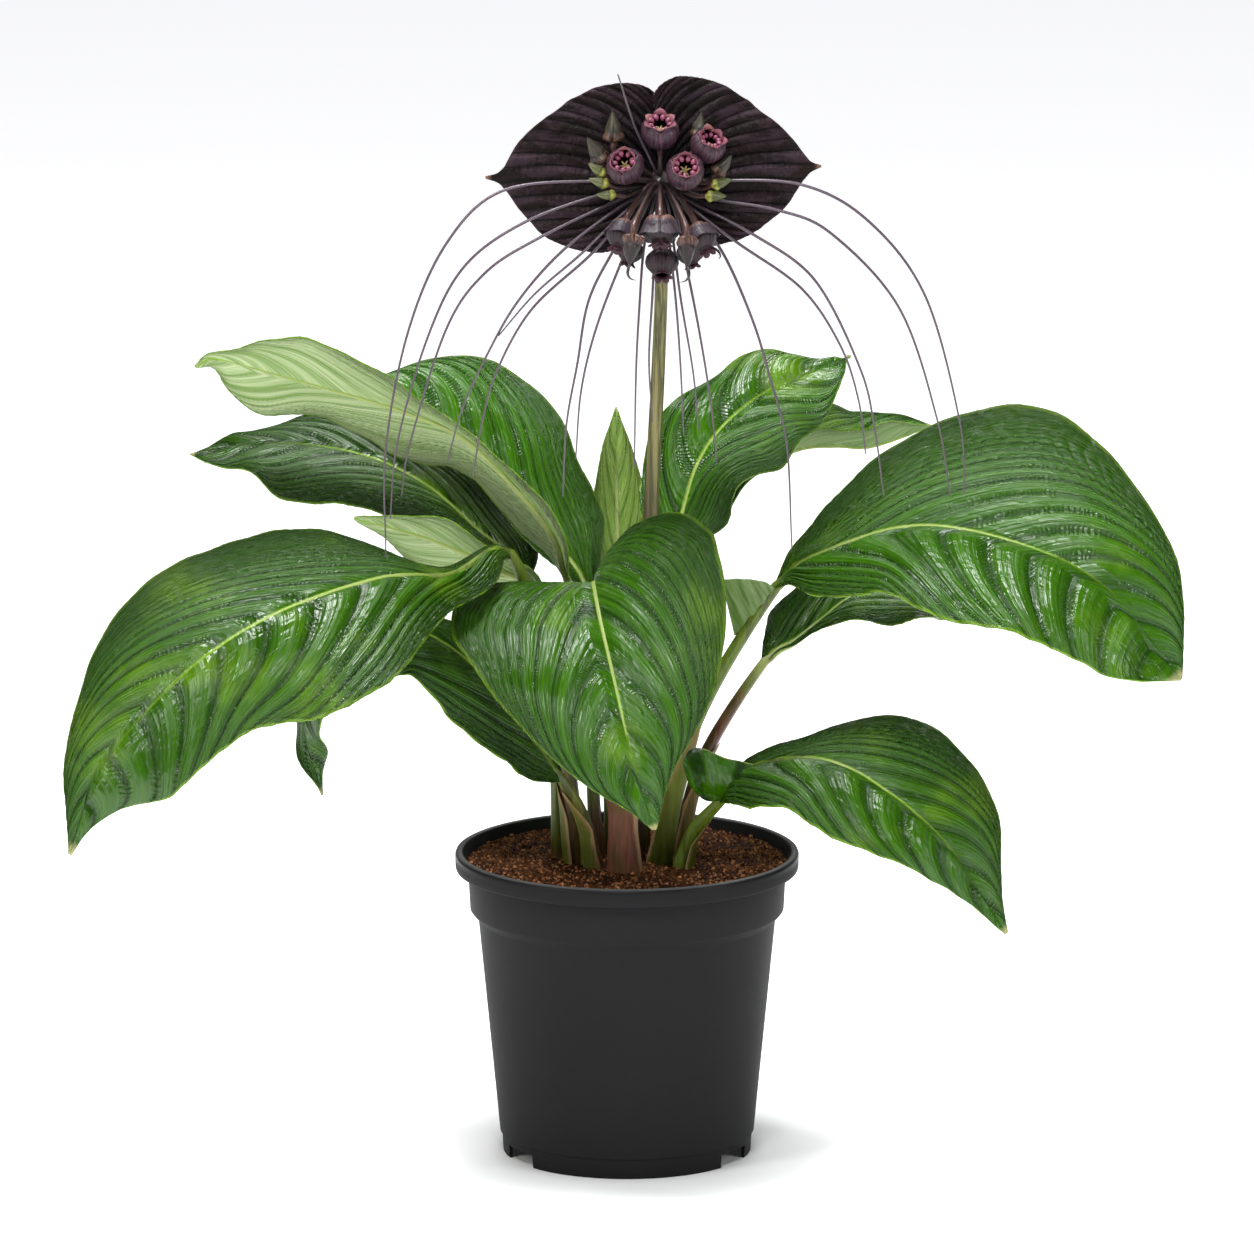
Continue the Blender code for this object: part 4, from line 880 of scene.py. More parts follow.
def sweep(name, lines, paint, **sizes):
    """Lines of (points in millimetres, radii in millimetres), swept into one mesh that wears the paint."""
    curve = bpy.data.curves.new(name, "CURVE")
    curve.dimensions = "3D"
    for points, radii in lines:
        spline = curve.splines.new("POLY")
        spline.points.add(len(points) - 1)
        places = np.hstack([np.array(points) * MM, np.ones((len(points), 1))])
        spline.points.foreach_set("co", places.ravel())
        spline.points.foreach_set("radius", np.array(radii, dtype=float))
    return swept.run(new_object(name, curve), paint, **sizes)


STALK_TAPER = 0.42
FOOT_SWELL, FOOT_REACH = 0.22, 0.12
STALK_STEPS, RIB_STEPS = 24, 30
# The midrib's thickness at its foot and its loss by the tip, as shares of the stalk's radius
RIB_THICK, RIB_TAPER = 0.50, 0.46


def stalk_radius(leaf, share):
    """The stalk swells at its foot and narrows on its way up."""
    foot = 1 + bump(share, FOOT_SWELL, 0, FOOT_REACH)
    return leaf["stalk"] * (1 - STALK_TAPER * share) * foot


for name, leaf in LEAVES.items():
    stalk, rib = leaf_lines(leaf)
    paints = young_leaf if name == "leaf_young" else grown_leaf
    blade = make_blade(name + "_blade", leaf, rib, paints)
    points = [Vector((*leaf["foot"], SOIL_TOP - STALK_DEPTH))]
    radii = [leaf["stalk"]]
    for share in np.linspace(0, 1, STALK_STEPS):
        points.append(stalk.at(share))
        radii.append(stalk_radius(leaf, share))
    for share in np.linspace(0.03, 0.93, RIB_STEPS):
        point, _, out = blade_frame(leaf, rib, share)
        thickness = leaf["stalk"] * (RIB_THICK - RIB_TAPER * share)
        points.append(point - out * (thickness * 0.75 + 0.2))
        radii.append(thickness)
    stem = sweep(name + "_stalk", [(points, radii)], stalk_paint, flush=leaf["flush"])
    grown(blade, "leaf", name)
    grown(stem, "leaf", name)


# The sheaths
# The thin sheath in which a leaf grew up still wraps and clings to its stalk's foot. It dries to a papery
# red-brown skin with paler torn edges, and the younger ones are still green.

# Each sheath: the leaf whose stalk wears it, its height, the way that its back faces in degrees, its spread,
# and how green it still is.
SHEATHS = (
    ("leaf_front", 62, 236, 190, 0.0), ("leaf_low_left", 46, 200, 210, 0.7),
    ("leaf_right", 78, 300, 200, 0.85), ("leaf_low_right", 30, 20, 200, 0.9),
    ("leaf_front_left", 52, 160, 200, 0.8), ("leaf_under_right", 66, 330, 180, 0.4),
)
SHEATH_THICK = 0.35
SHEATH_ROWS, SHEATH_COLUMNS = 26, 34
SHEATH_SUNK = 4.0
# By what share a sheath's sides are lower than its back, and how ragged its torn top is
SHEATH_DROP, SHEATH_TEAR = 0.55, 1.2
# How far it stands off the stalk, and how much further at its two sides and at its top
SHEATH_GAP, SHEATH_CURL, SHEATH_FLARE = 0.45, 1.3, 1.1

husk = Paint("papery_sheath", {"Specular IOR Level": 0.3})
rise = husk.value("along")
edge = husk.size_of(husk.value("across"))
strands = husk.strands(0.05, 600.0)
mottle = husk.strands(0.3, 70.0)
dried = husk.blend(strands, tone(70, 36, 26), tone(162, 104, 82))
dried = husk.blend(husk.ramp(mottle, 0.48, 0.62) * 0.6, dried, tone(76, 78, 24))
living = husk.blend(strands, tone(52, 78, 8), tone(134, 150, 44))
skin = husk.blend(husk.value("fresh"), dried, living)
skin = husk.blend(husk.ramp(edge + 0.3 * (strands - 0.5), 0.78, 0.98) * 0.8, skin, tone(206, 170, 132))
skin = husk.blend(husk.ramp(rise + 0.4 * (mottle - 0.5), 0.72, 1.0) * 0.7, skin, tone(176, 140, 100))
husk.colour(skin)
husk.roughness(0.5 + 0.2 * mottle)
husk.relief((strands, 0.6), (mottle, 0.5))


def grid_of(rows, columns, spot):
    """A grid of points in metres. spot gives each in millimetres, by its shares of the way up and across."""
    ups, overs = np.linspace(0, 1, rows), np.linspace(0, 1, columns)
    return np.array([[tuple(spot(up, over)) for over in overs] for up in ups]) * MM


def wrap_grid(leaf, height, facing, spread):
    """A sheet that stands round the stalk's foot, open on one side and drawn up to a point at its back."""
    stalk = leaf_lines(leaf)[0]

    def spot(share, over):
        across = 2 * over - 1
        turn = math.radians(facing + across * spread / 2)
        top = height * (1 - SHEATH_DROP * abs(across) ** 1.6) + SHEATH_TEAR * math.sin(9 * across)
        lift = share * (top + SHEATH_SUNK) - SHEATH_SUNK
        up = max(0, lift) / stalk.length
        x, y, z = stalk.at(up)
        radius = stalk_radius(leaf, up) + SHEATH_GAP
        radius = radius + SHEATH_CURL * abs(across) ** 4 + SHEATH_FLARE * share**5
        return x + radius * math.cos(turn), y + radius * math.sin(turn), z + min(0, lift)

    return grid_of(SHEATH_ROWS, SHEATH_COLUMNS, spot)


for name, height, facing, spread, fresh in SHEATHS:
    grid = wrap_grid(LEAVES[name], height, facing, spread)
    sheath = Shell().add(grid, thick=SHEATH_THICK * MM, fresh=fresh).make(name + "_sheath", [husk])
    grown(sheath, "leaf", name)


# The folded lobes
# At the foot of two blades on the right a lobe of the margin is folded over. The right leaf's shows its pale
# underside, the low right one's its upper face. Each is a corner of its own leaf, joined to the stalk.

# Each lobe: its leaf, its lower edge, its upper edge, how far it swells towards the front, all in
# millimetres, and the face that shows, 0 for the upper and 1 for the under.
LOBES = {
    "leaf_low_right_lobe": (
        "leaf_low_right", ((31, -35, 225), (35, -34, 214), (43, -33, 206), (54, -36, 206), (68, -43, 203)),
        ((30.5, -38, 230), (35, -40, 236.5), (43, -41, 236.5), (53, -41, 232), (69, -40, 228)), 4.0, 0),
    "leaf_right_lobe": (
        "leaf_right", ((59, -8, 293), (65, -9, 296), (70, -10, 302), (74, -11, 309), (79, -12, 317)),
        ((52, -6, 324), (60, -8, 325), (68, -10, 325), (75, -11, 324), (81, -12, 321)), 2.0, 1),
}
LOBE_THICK = 0.6
LOBE_ROWS, LOBE_COLUMNS = 26, 40
LOBE_RIPPLE = 0.5


def lobe_grid(low_edge, high_edge, swell):
    """A sheet between two edges, swollen towards the front and a little rippled."""
    low_line, high_line = Line(smooth(low_edge)), Line(smooth(high_edge))

    def spot(rise, share):
        point = low_line.at(share).lerp(high_line.at(share), rise)
        point.y -= swell * math.sin(math.pi * rise) * math.sin(math.pi * (0.15 + 0.7 * share))
        point.y += LOBE_RIPPLE * math.sin(share * 22 + 2 * rise)
        return point

    return grid_of(LOBE_ROWS, LOBE_COLUMNS, spot)


vein = np.linspace(0.3, 1.9, LOBE_COLUMNS)[None, :] + 0.4 * np.linspace(0, 1, LOBE_ROWS)[:, None]
for name, (leaf_name, low_edge, high_edge, swell, face) in LOBES.items():
    grid = lobe_grid(low_edge, high_edge, swell)
    lobe = Shell().add(grid, thick=LOBE_THICK * MM, slots=(face, face), vein=vein, span=20.0,
                       lush=0.8 + 0.1 * face)
    grown(lobe.make(name, grown_leaf), "leaf", leaf_name)


# The flower stem
# One stout stem lifts the bloom well clear of the leaves. It is solid and finely ribbed, olive green where
# light falls on it above and flushed purple brown below.

HUB = Vector((18.0, -20.0, 548.0))
HUB_TILT = 10.0
HUB_RADII = (7.0, 5.5, 7.0)
SCAPE_PATH = (
    (5, 5, 140), (5, 5, 166), (9, 6, 260), (13, 5, 360), (17, 3, 440), (19, -3, 500), (18.5, -10, 530))
SCAPE_RADIUS = (4.6, 3.3)
SCAPE_STEPS = 70

stem_paint = Paint("flower_stem", {"Coat Weight": 0.1, "Coat Roughness": 0.25})
strands = stem_paint.ramp(stem_paint.strands(0.02, 420.0), 0.35, 0.65)
mottle = stem_paint.strands(0.2, 70.0)
olive = stem_paint.blend(strands, tone(66, 66, 26), tone(142, 138, 82))
purple = stem_paint.blend(strands, tone(34, 20, 16), tone(94, 68, 54))
lifted = stem_paint.ramp(stem_paint.value("along") + 0.5 * (mottle - 0.5), 0.36, 0.66)
stem_paint.colour(stem_paint.blend(lifted * 0.9, purple, olive))
stem_paint.roughness(0.38 + 0.2 * mottle)
stem_paint.relief((strands, 0.5), (mottle, 0.25))

TILT = math.radians(HUB_TILT)
RIGHT = Vector((1, 0, 0))
FORWARD = Vector((0, -math.cos(TILT), math.sin(TILT)))
UP = Vector((0, math.sin(TILT), math.cos(TILT)))


def from_hub(place):
    """A point of the plant, from its way right, forward and up from the hub as the head leans."""
    return HUB + RIGHT * place[0] + FORWARD * place[1] + UP * place[2]


stem_line = Line(smooth(SCAPE_PATH[1:]))
shares = np.linspace(0, 1, SCAPE_STEPS)
points = [Vector(SCAPE_PATH[0]), *(stem_line.at(share) for share in shares), from_hub((0, -3.5, -4.5))]
radii = [SCAPE_RADIUS[0], *(SCAPE_RADIUS[0] + shares * (SCAPE_RADIUS[1] - SCAPE_RADIUS[0])), SCAPE_RADIUS[1]]
stem = sweep("flower_stem", [(points, radii)], stem_paint, sides=24, ribs=9.0, rib_depth=0.05)
grown(stem, "scape", "scape")


# The bracts
# Two broad bracts stand behind the florets like wings. They are thin and velvety, purple black with a grey
# sheen, pleated along veins that fan out from the hub and bend towards each drawn-out tip, and crinkled.

BRACT_THICK = 0.8
FAN_BEND = 0.44
FAN_PITCH, FAN_DEPTH = 10.5, 1.9
BRACT_ROWS, BRACT_STEPS = 64, 230
# A bract starts this far behind the hub and comes forward by the second over the third, and its side sweeps
# back as the square of the way out
FAN_BACK, FAN_FORWARD, FAN_REACH, FAN_SWEEP = 5.8, 3.6, 20.0, 0.0012
# The heights of its short folds, its long waves, the crimp of its rim and the rim's raggedness
FOLD_HEIGHT, SWAY_HEIGHT, CRIMP_HEIGHT, RAGGEDNESS = 0.9, 2.2, 0.7, 0.7

# Each bract: side is -1 for the left one, margin the distance from the hub to its edge by the angle above
# the horizontal in degrees, behind how far its upper edge lies behind the other.
BRACTS = {
    "bract_left": dict(
        side=-1, behind=2.6,
        margin=((-80, 12), (-70, 29), (-62, 39), (-54, 46), (-47, 51.6), (-39, 58), (-33, 62.4), (-28, 67),
                (-23, 70.8), (-17, 73.8), (-12, 77), (-6.5, 81), (-2, 85.5), (0.6, 90), (1.8, 96), (3, 90),
                (5, 86.3), (8, 84.4), (13, 82), (19, 78.2), (25.5, 74), (34.5, 69.4), (44.5, 66),
                (53.5, 63.2), (62.5, 60.4), (70, 58.2), (78, 54.6), (85, 50.5), (91, 46)),
    ),
    "bract_right": dict(
        side=1, behind=0.0,
        margin=((-80, 12), (-70, 27), (-62, 36), (-54, 42), (-46, 46.5), (-38.5, 51), (-31.5, 55.5),
                (-25.5, 59.5), (-19, 63.4), (-13.5, 67.6), (-8, 71.4), (-3, 75), (1.5, 78.6), (4.4, 83),
                (6, 89), (7.4, 84.5), (10, 81.5), (15, 78), (21.5, 74.2), (29, 70.5), (37, 67), (46.5, 65),
                (56.5, 63.4), (66, 62), (75, 60.2), (82, 58), (89, 54), (95, 47)),
    ),
}

velvet = Paint("bract_velvet", {"Sheen Weight": 0.03, "Sheen Roughness": 0.35,
                                "Sheen Tint": (0.62, 0.50, 0.56), "Specular IOR Level": 0.14})
vein = velvet.value("vein")
reach = velvet.value("span")
edge = velvet.value("along")
valley = velvet.zigzag(vein)
fine = velvet.zigzag(vein * 4.0)
streaks = velvet.cloud(velvet.joined(vein * 6.0, reach * 0.035), 1.0, 4.0, 0.65)
crinkle = velvet.cloud(velvet.joined(vein * 1.3, reach * 0.34, edge * 2.0), 1.0, 4.0, 0.62, 0.9)
hide = velvet.cloud(velvet.place, 260.0, 4.0, 0.7, 1.2)
folds = velvet.cloud(velvet.place, 80.0, 4.0, 0.6, 0.8)
sheen = velvet.cloud(velvet.joined(vein * 0.9, reach * 0.035, 4.0), 1.0, 3.0, 0.6, 0.8)
cloth = velvet.ramp(streaks * 0.5 + folds * 0.5, 0.36, 0.64)
cloth = velvet.blend(cloth, tone(6, 2, 2), tone(32, 18, 17))
# What lies over the cloth: where it starts and is full, its share and its colour
for mask, low, high, share, colour in (
    # Painted sheen in the grey-lilac clouds, and painted shade darkening the valleys of the folds
    (sheen, 0.46, 0.62, 0.7, tone(58, 43, 52)), (valley, 0.18, 0.0, 0.85, tone(4, 2, 2)),
    # Painted shade darkening the bract towards the hub, behind the florets, and painted highlights on the
    # crinkles
    (reach, 56.0, 16.0, 0.88, tone(4, 2, 2)), (crinkle, 0.56, 0.78, 0.28, tone(92, 70, 82)),
    (hide, 0.58, 0.72, 0.22, tone(84, 62, 72)), (edge, 0.985, 1.0, 0.4, tone(78, 56, 56)),
):
    cloth = velvet.blend(velvet.ramp(mask, low, high) * share, cloth, colour)
velvet.colour(velvet.blend(velvet.ramp(velvet.value("point"), 0.955, 1.0), cloth, tone(136, 106, 86)))
velvet.roughness(0.40 + 0.25 * hide)
velvet.relief((valley, 1.1), (fine, 0.25), (crinkle, 1.6), (folds, 0.9), (hide, 0.35))


def bract_grid(bract):
    """The bract's points from the hub outwards, with each one's vein and how far it lies from the hub."""
    margin = bract["margin"]
    angles = np.linspace(margin[0][0], margin[-1][0], BRACT_STEPS)
    share = np.linspace(0.06, 1, BRACT_ROWS)[:, None]
    tip = max(margin, key=lambda row: row[1] if abs(row[0]) < 12 else 0)[0]
    vein = (tip + (angles - tip) / (1 - FAN_BEND * share**1.6)) / FAN_PITCH + FIRST_VEIN
    vein = vein + 0.22 * np.sin(share * 7 + angles / 17)
    turn = np.radians(angles)
    ragged = RAGGEDNESS * np.sin(angles / 2.9 + 1.3 * np.sin(angles / 7)) * (share > 0.6) * (share - 0.6)
    reach = share * (read(margin, angles) + ragged)
    right = bract["side"] * reach * np.cos(turn)
    forward = -FAN_BACK + FAN_FORWARD * (1 - bump(reach, 1, 0, FAN_REACH)) - FAN_SWEEP * right**2
    forward += FOLD_HEIGHT * np.sin(turn * 15) * share * np.minimum(1, reach / 25)
    forward += SWAY_HEIGHT * np.sin(turn * 4 + bract["side"]) * share**3
    forward += CRIMP_HEIGHT * np.sin(angles / 4.1) * share**8
    overlap = np.clip((angles - 70) / 14, 0, 1)
    forward -= bract["behind"] * overlap * np.minimum(1, reach / 8)
    ridge = np.abs(np.sin(np.pi * vein)) ** 0.8 - 0.5
    forward += FAN_DEPTH * ridge * np.clip(reach / 26 - 0.1, 0, 1) * (1 - 0.6 * share**4)
    places = np.stack([right, forward, reach * np.sin(turn)], axis=2)
    grid = np.array(HUB) + places @ np.array([RIGHT, FORWARD, UP])
    return grid * MM, vein, reach


for name, bract in BRACTS.items():
    grid, vein, reach = bract_grid(bract)
    if bract["side"] > 0:
        grid, vein, reach = grid[:, ::-1], vein[:, ::-1], reach[:, ::-1]
    wing = Shell().add(grid, thick=BRACT_THICK * MM, vein=vein, span=reach, point=reach / reach.max())
    grown(wing.make(name + "_sheet", [velvet]), "bract", name)


# The umbel
# All the florets hang or stand on ribbed, copper brown stalks from one small hub at the foot of the bracts.
# The whiskers between them are thread-like bracts, grey lilac, that arch out and fall past the leaves.

STALK_RADIUS, STALK_NECK = 1.5, 2.1
GREEN_STALK = 0.62
# Florets: base is the point where its stalk meets it, axis the way that its mouth or point looks, flare how
# far an open one's lips turn out, and awnings where an old one's outer tepals stand, in degrees
FLORETS = {
    "flower_top": dict(kind="open", flare=1.0, base=(0, 13, 21), axis=(0.0, 0.62, 0.78), size=1.06),
    "flower_upper_right": dict(
        kind="open", flare=0.8, base=(23.5, 12, 15), axis=(0.30, 0.70, 0.64), size=1.0),
    "flower_left": dict(
        kind="open", flare=0.25, base=(-17.5, 17, 5.5), axis=(-0.16, 0.88, 0.44), size=1.05),
    "flower_right": dict(kind="open", flare=0.35, base=(13, 18, 2.5), axis=(0.05, 0.90, 0.43), size=1.07),
    "drooping_flower_front": dict(
        kind="winged", awnings=(40, 140, 270), base=(0, 40, -20), axis=(0.0, 0.25, -0.97), size=1.1),
    "drooping_flower_middle": dict(kind="drooping", base=(1, 19, -37), axis=(0.0, 0.55, -0.83), size=0.95),
    "drooping_flower_left": dict(
        kind="drooping", awnings=(60, 170), base=(-19, 30, -22), axis=(-0.3, 0.3, -0.9), size=0.9),
    "drooping_flower_right": dict(
        kind="drooping", awnings=(10, 120), base=(20, 31, -24), axis=(0.35, 0.3, -0.88), size=0.9),
    "drooping_flower_low_left": dict(
        kind="drooping", base=(-15, 13, -31), axis=(-0.2, 0.1, -0.97), size=0.8),
    "drooping_flower_low_right": dict(
        kind="drooping", base=(15, 12, -32), axis=(0.2, 0.1, -0.97), size=0.8),
    "hanging_bud_left": dict(kind="bud", base=(-14.5, 49, -27), axis=(-0.12, 0.3, -0.95), size=1.05),
    "hanging_bud_right": dict(kind="bud", base=(14, 50, -28), axis=(0.05, 0.3, -0.95), size=1.05),
    "brown_bud_upper_left": dict(kind="bud", base=(-25, 12, 22.5), axis=(-0.05, 0.25, 0.96), size=1.0),
    "brown_bud_left": dict(kind="bud", base=(-31, 13, 11), axis=(-0.5, 0.3, 0.81), size=1.0),
    "brown_bud_upper_right": dict(kind="bud", base=(20, 6, 24), axis=(0.18, 0.05, 0.98), size=0.85),
    "brown_bud_right": dict(kind="bud", base=(30.5, 15, 5), axis=(0.6, 0.3, 0.74), size=0.8),
    "green_bud_left_high": dict(kind="green", base=(-30, 17, 4), axis=(-0.75, 0.3, 0.58), size=1.0),
    "green_bud_left_middle": dict(kind="green", base=(-28, 18, -1), axis=(-0.9, 0.3, 0.3), size=1.0),
    "green_bud_left_low": dict(kind="green", base=(-24, 18, -6.5), axis=(-0.97, 0.25, 0.05), size=0.95),
    "green_bud_right_high": dict(kind="green", base=(28, 18, -1.5), axis=(0.9, 0.3, 0.3), size=1.0),
    "green_bud_right_low": dict(kind="green", base=(24.5, 18, -7), axis=(0.97, 0.25, 0.0), size=1.0),
}

# Whiskers: points (right, forward, up) from the hub. They lean with the head down to this depth, then hang
# plumb.
WHISKER_LEAN_TO = 50.0
WHISKER_RADIUS = (0.9, 0.36)
WHISKERS = (
    ((-30, 10, 3), (-85, 16, -1), (-116, 24, -28), (-137, 34, -75), (-149, 42, -138), (-149, 48, -196)),
    ((-30, 9, -4), (-73, 15, -18), (-106, 18, -41), (-126, 20, -79), (-143, 22, -138), (-147, 24, -180)),
    ((-28, 8, -10), (-66, 14, -27), (-95, 17, -45), (-116, 19, -75), (-136, 21, -138), (-141, 22, -168)),
    ((-24, 7, -13), (-54, 12, -35), (-78, 15, -62), (-95, 17, -92), (-108, 18, -121), (-116, 19, -150)),
    ((-20, 6, -15), (-43, 11, -36), (-68, 14, -57), (-88, 16, -80)),
    ((-17, 5, -15), (-38, 9, -37), (-70, 13, -66), (-89, 15, -100), (-97, 16, -128), (-102, 16, -158)),
    ((-12, 4, -15), (-26, 7, -36), (-39, 10, -62), (-45, 12, -96), (-51, 13, -130), (-53, 13, -170)),
    ((-9, 3, -15), (-21, 6, -41), (-35, 8, -78), (-43, 9, -112), (-46, 9, -150)),
    ((-5, 2, -15), (-9, 3, -36), (-11, 5, -62), (-13, 6, -100), (-14, 6, -155)),
    ((-2, 2, -16), (-4, 3, -57), (-6, 4, -96), (-4, 4, -130)),
    ((3, 2, -16), (8, 3, -57), (11, 4, -96), (13, 4, -138)),
    ((5, 3, -15), (11, 4, -60), (18, 5, -102), (21, 5, -134)),
    ((8, 3, -14), (15, 3, -47), (22, 6, -83), (28, 8, -121), (31, 8, -152)),
    ((14, 4, -14), (33, 9, -34), (50, 13, -71), (60, 15, -104), (69, 17, -140), (72, 17, -198)),
    ((18, 6, -13), (42, 11, -30), (77, 15, -54), (98, 17, -85), (108, 18, -115), (112, 18, -145)),
    ((21, 7, -11), (50, 12, -25), (84, 16, -49), (109, 18, -98), (117, 19, -132), (122, 19, -168)),
    ((28, 8, -7), (64, 14, -12), (93, 17, -24), (130, 19, -64), (151, 21, -126), (158, 22, -168)),
    ((30, 9, 3), (77, 16, 2), (113, 18, -17), (144, 20, -57), (163, 22, -126), (166, 24, -166)),
    ((-5, 4, 13), (-14, 6, 33), (-23, 5, 61)),
)

copper = Paint("floret_stalks", {"Coat Weight": 0.5, "Coat Roughness": 0.18})
grainy = copper.cloud(copper.place, 1500.0, 3.0, 0.7)
strands = copper.strands(0.12, 900.0, 2.0)
glow = copper.ramp(copper.value("along"), 0.45, 1.0)
bark = copper.blend(strands, tone(12, 5, 5), tone(56, 29, 27))
bark = copper.blend(glow * 0.6, bark, tone(92, 52, 42))
# The pale specks on the grain are painted glints
copper.colour(copper.blend(copper.ramp(grainy, 0.56, 0.74) * 0.45, bark, tone(132, 96, 92)))
copper.roughness(0.30 + 0.2 * grainy)
copper.relief((grainy, 0.4), (strands, 0.4))

lilac = Paint("whisker_thread", {"Coat Weight": 0.35, "Coat Roughness": 0.2})
along = lilac.value("along")
strands = lilac.strands(0.05, 1200.0, 2.0)
thread = lilac.blend(lilac.ramp(along, 0.05, 0.30), tone(28, 16, 20), tone(74, 58, 70))
thread = lilac.blend(lilac.ramp(along, 0.45, 1.0), thread, tone(84, 76, 80))
lilac.colour(lilac.blend(strands * 0.25, thread, tone(124, 104, 120)))
lilac.roughness(0.30 + 0.15 * strands)
lilac.relief((strands, 0.2))


def hanging(place):
    """A whisker's point: it clears the bracts, which lean with the head, and then hangs plumb."""
    right, forward, up = place
    lean = min(max(-up, 0), WHISKER_LEAN_TO) * math.sin(TILT)
    return HUB + Vector((right, -forward - lean, up))


# The hub is a lumpy knob, given here from pole to pole at a radius of 1
KNOB = [(0, -1), *((math.cos(a), math.sin(a)) for a in np.linspace(-1.4, 1.4, 17)), (0, 1)]
KNOB_STEPS = 40
KNOB_LUMPS, KNOB_SCALE = 0.10, 2.4
FLORET_STALK_STEPS, WHISKER_STEPS = 26, 80

knob = turned(KNOB, KNOB_STEPS) / MM
lumps = np.array([[noise.noise(Vector(point) * KNOB_SCALE) for point in row] for row in knob])
knob = knob * np.array(HUB_RADII) * (1 + KNOB_LUMPS * lumps[:, :, None]) * MM
hub_turn = Matrix.Translation(HUB * MM) @ Matrix.Rotation(-TILT, 4, "X")
hub = Shell().add(knob, wrap=True, along=0.0).make("umbel_hub", [copper], hub_turn)

floret_stalks = []
shares = np.linspace(0, 1, FLORET_STALK_STEPS)
for floret in FLORETS.values():
    base = Vector(floret["base"])
    axis = Vector(floret["axis"]).normalized()
    lift = Vector((0, 5, 6)) if axis.z < 0 else Vector((0, 1, -1))
    path = smooth([(0, 0, 0), base * 0.38 + lift, base - axis * 6, base])
    line = Line([from_hub(point) for point in path])
    slim = GREEN_STALK if floret["kind"] == "green" else 1.0
    radii = STALK_RADIUS * slim * (1 - 0.12 * np.sin(shares * 3))
    radii = radii + (STALK_NECK - STALK_RADIUS) * slim * shares**6
    floret_stalks.append(([line.at(share) for share in shares], radii))
stalks = sweep("floret_stalks", floret_stalks, copper, sides=14, ribs=6.0, rib_depth=0.12)

threads = []
shares = np.linspace(0, 1, WHISKER_STEPS)
radii = WHISKER_RADIUS[0] * (1 - shares) ** 0.8 + WHISKER_RADIUS[1] * shares
for places in WHISKERS:
    line = Line(smooth([hanging(place) for place in ((0, 0, 0), *places)], 14))
    threads.append(([line.at(share) for share in shares], radii))
whiskers = sweep("whiskers", threads, lilac, sides=10, ribs=4.0, rib_depth=0.08)
for piece in (hub, stalks, whiskers):
    grown(piece, "umbel", "umbel")


# The open flowers
# Each is a round cup of six ribbed mauve tepals, three laid over three, whose pink lips turn out round a
# dark mouth. Hooded stamens curl in under the lips over a cream stigma like a small star.

# The cup's profile: share of the way up a tepal, radius and height
CUP = ((0.0, 2.0, 0.1), (0.14, 6.0, 1.6), (0.32, 8.7, 5.2), (0.52, 9.35, 9.6), (0.70, 8.3, 13.0),
       (0.82, 6.5, 14.7))
LIP_OUT, LIP_UP = 3.0, 2.3
TEPALS = 6
TEPAL_THICK = 0.5
TEPAL_ROWS, TEPAL_COLUMNS = 34, 19
# On an outer and on an inner tepal: half its spread in degrees, and how pointed it is
TEPAL_HALF = (60.0, 50.0)
TEPAL_POINT = (0.20, 0.14)
INNER_INSET = 0.75
# How far a tepal's margins bow out, and the height of its ribs
TEPAL_BOW, TEPAL_RIBS = 0.45, 0.10

tepal_out = Paint("tepal_outside", {"Coat Weight": 0.2, "Coat Roughness": 0.28, "Specular IOR Level": 0.3})
along = tepal_out.value("along")
across = tepal_out.value("across")
stripe = tepal_out.cloud(tepal_out.joined(across * 15.0, along * 0.9), 1.0, 3.0, 0.6, 0.3)
bloom_dust = tepal_out.cloud(tepal_out.place, 420.0, 3.0, 0.6)
mauve = tepal_out.blend(tepal_out.ramp(stripe, 0.34, 0.62), tone(22, 12, 18), tone(78, 50, 64))
mauve = tepal_out.blend(tepal_out.ramp(along, 0.30, 0.0) * 0.8, mauve, tone(26, 13, 16))
mauve = tepal_out.blend(tepal_out.ramp(bloom_dust, 0.60, 0.8) * 0.4, mauve, tone(150, 112, 132))
seam = tepal_out.ramp(tepal_out.size_of(across), 0.90, 1.0) * tepal_out.ramp(along, 0.35, 0.6)
mauve = tepal_out.blend(seam * 0.4, mauve, tone(136, 88, 104))
tepal_out.colour(tepal_out.blend(tepal_out.ramp(along, 0.93, 0.99) * 0.6, mauve, tone(146, 92, 106)))
tepal_out.roughness(0.34 + 0.2 * bloom_dust)
tepal_out.relief((stripe, 0.45), (bloom_dust, 0.15))

tepal_in = Paint("tepal_inside", {"Coat Weight": 0.1, "Specular IOR Level": 0.3})
along = tepal_in.value("along")
stripe = tepal_in.cloud(tepal_in.joined(tepal_in.value("across") * 17.0, along * 1.2), 1.0, 3.0, 0.6)
tan = tepal_in.cloud(tepal_in.place, 160.0, 2.0)
pink = tepal_in.blend(tepal_in.ramp(stripe, 0.35, 0.65), tone(84, 32, 50), tone(146, 82, 96))
pink = tepal_in.blend(tepal_in.ramp(tan, 0.50, 0.66) * 0.5, pink, tone(158, 112, 94))
# Deep in the cup the inside is near black: its own dark maroon, deepened by painted shade
tepal_in.colour(tepal_in.blend(tepal_in.ramp(along, 0.74, 0.88), tone(16, 3, 8), pink))
tepal_in.roughness(0.42 + 0.15 * stripe)
tepal_in.relief((stripe, 0.3))

hood_paint = Paint("stamen_hoods", {"Coat Weight": 0.35, "Coat Roughness": 0.2, "Specular IOR Level": 0.35})
flecks = hood_paint.cloud(hood_paint.place, 900.0, 3.0, 0.6)
hood = hood_paint.ramp(hood_paint.value("along"), 0.1, 0.8)
hood = hood_paint.blend(hood, tone(44, 10, 22), tone(140, 68, 96))
hood_paint.colour(hood_paint.blend(hood_paint.ramp(flecks, 0.6, 0.75) * 0.5, hood, tone(196, 138, 144)))
hood_paint.roughness(0.32 + 0.2 * flecks)
hood_paint.relief((flecks, 0.2))

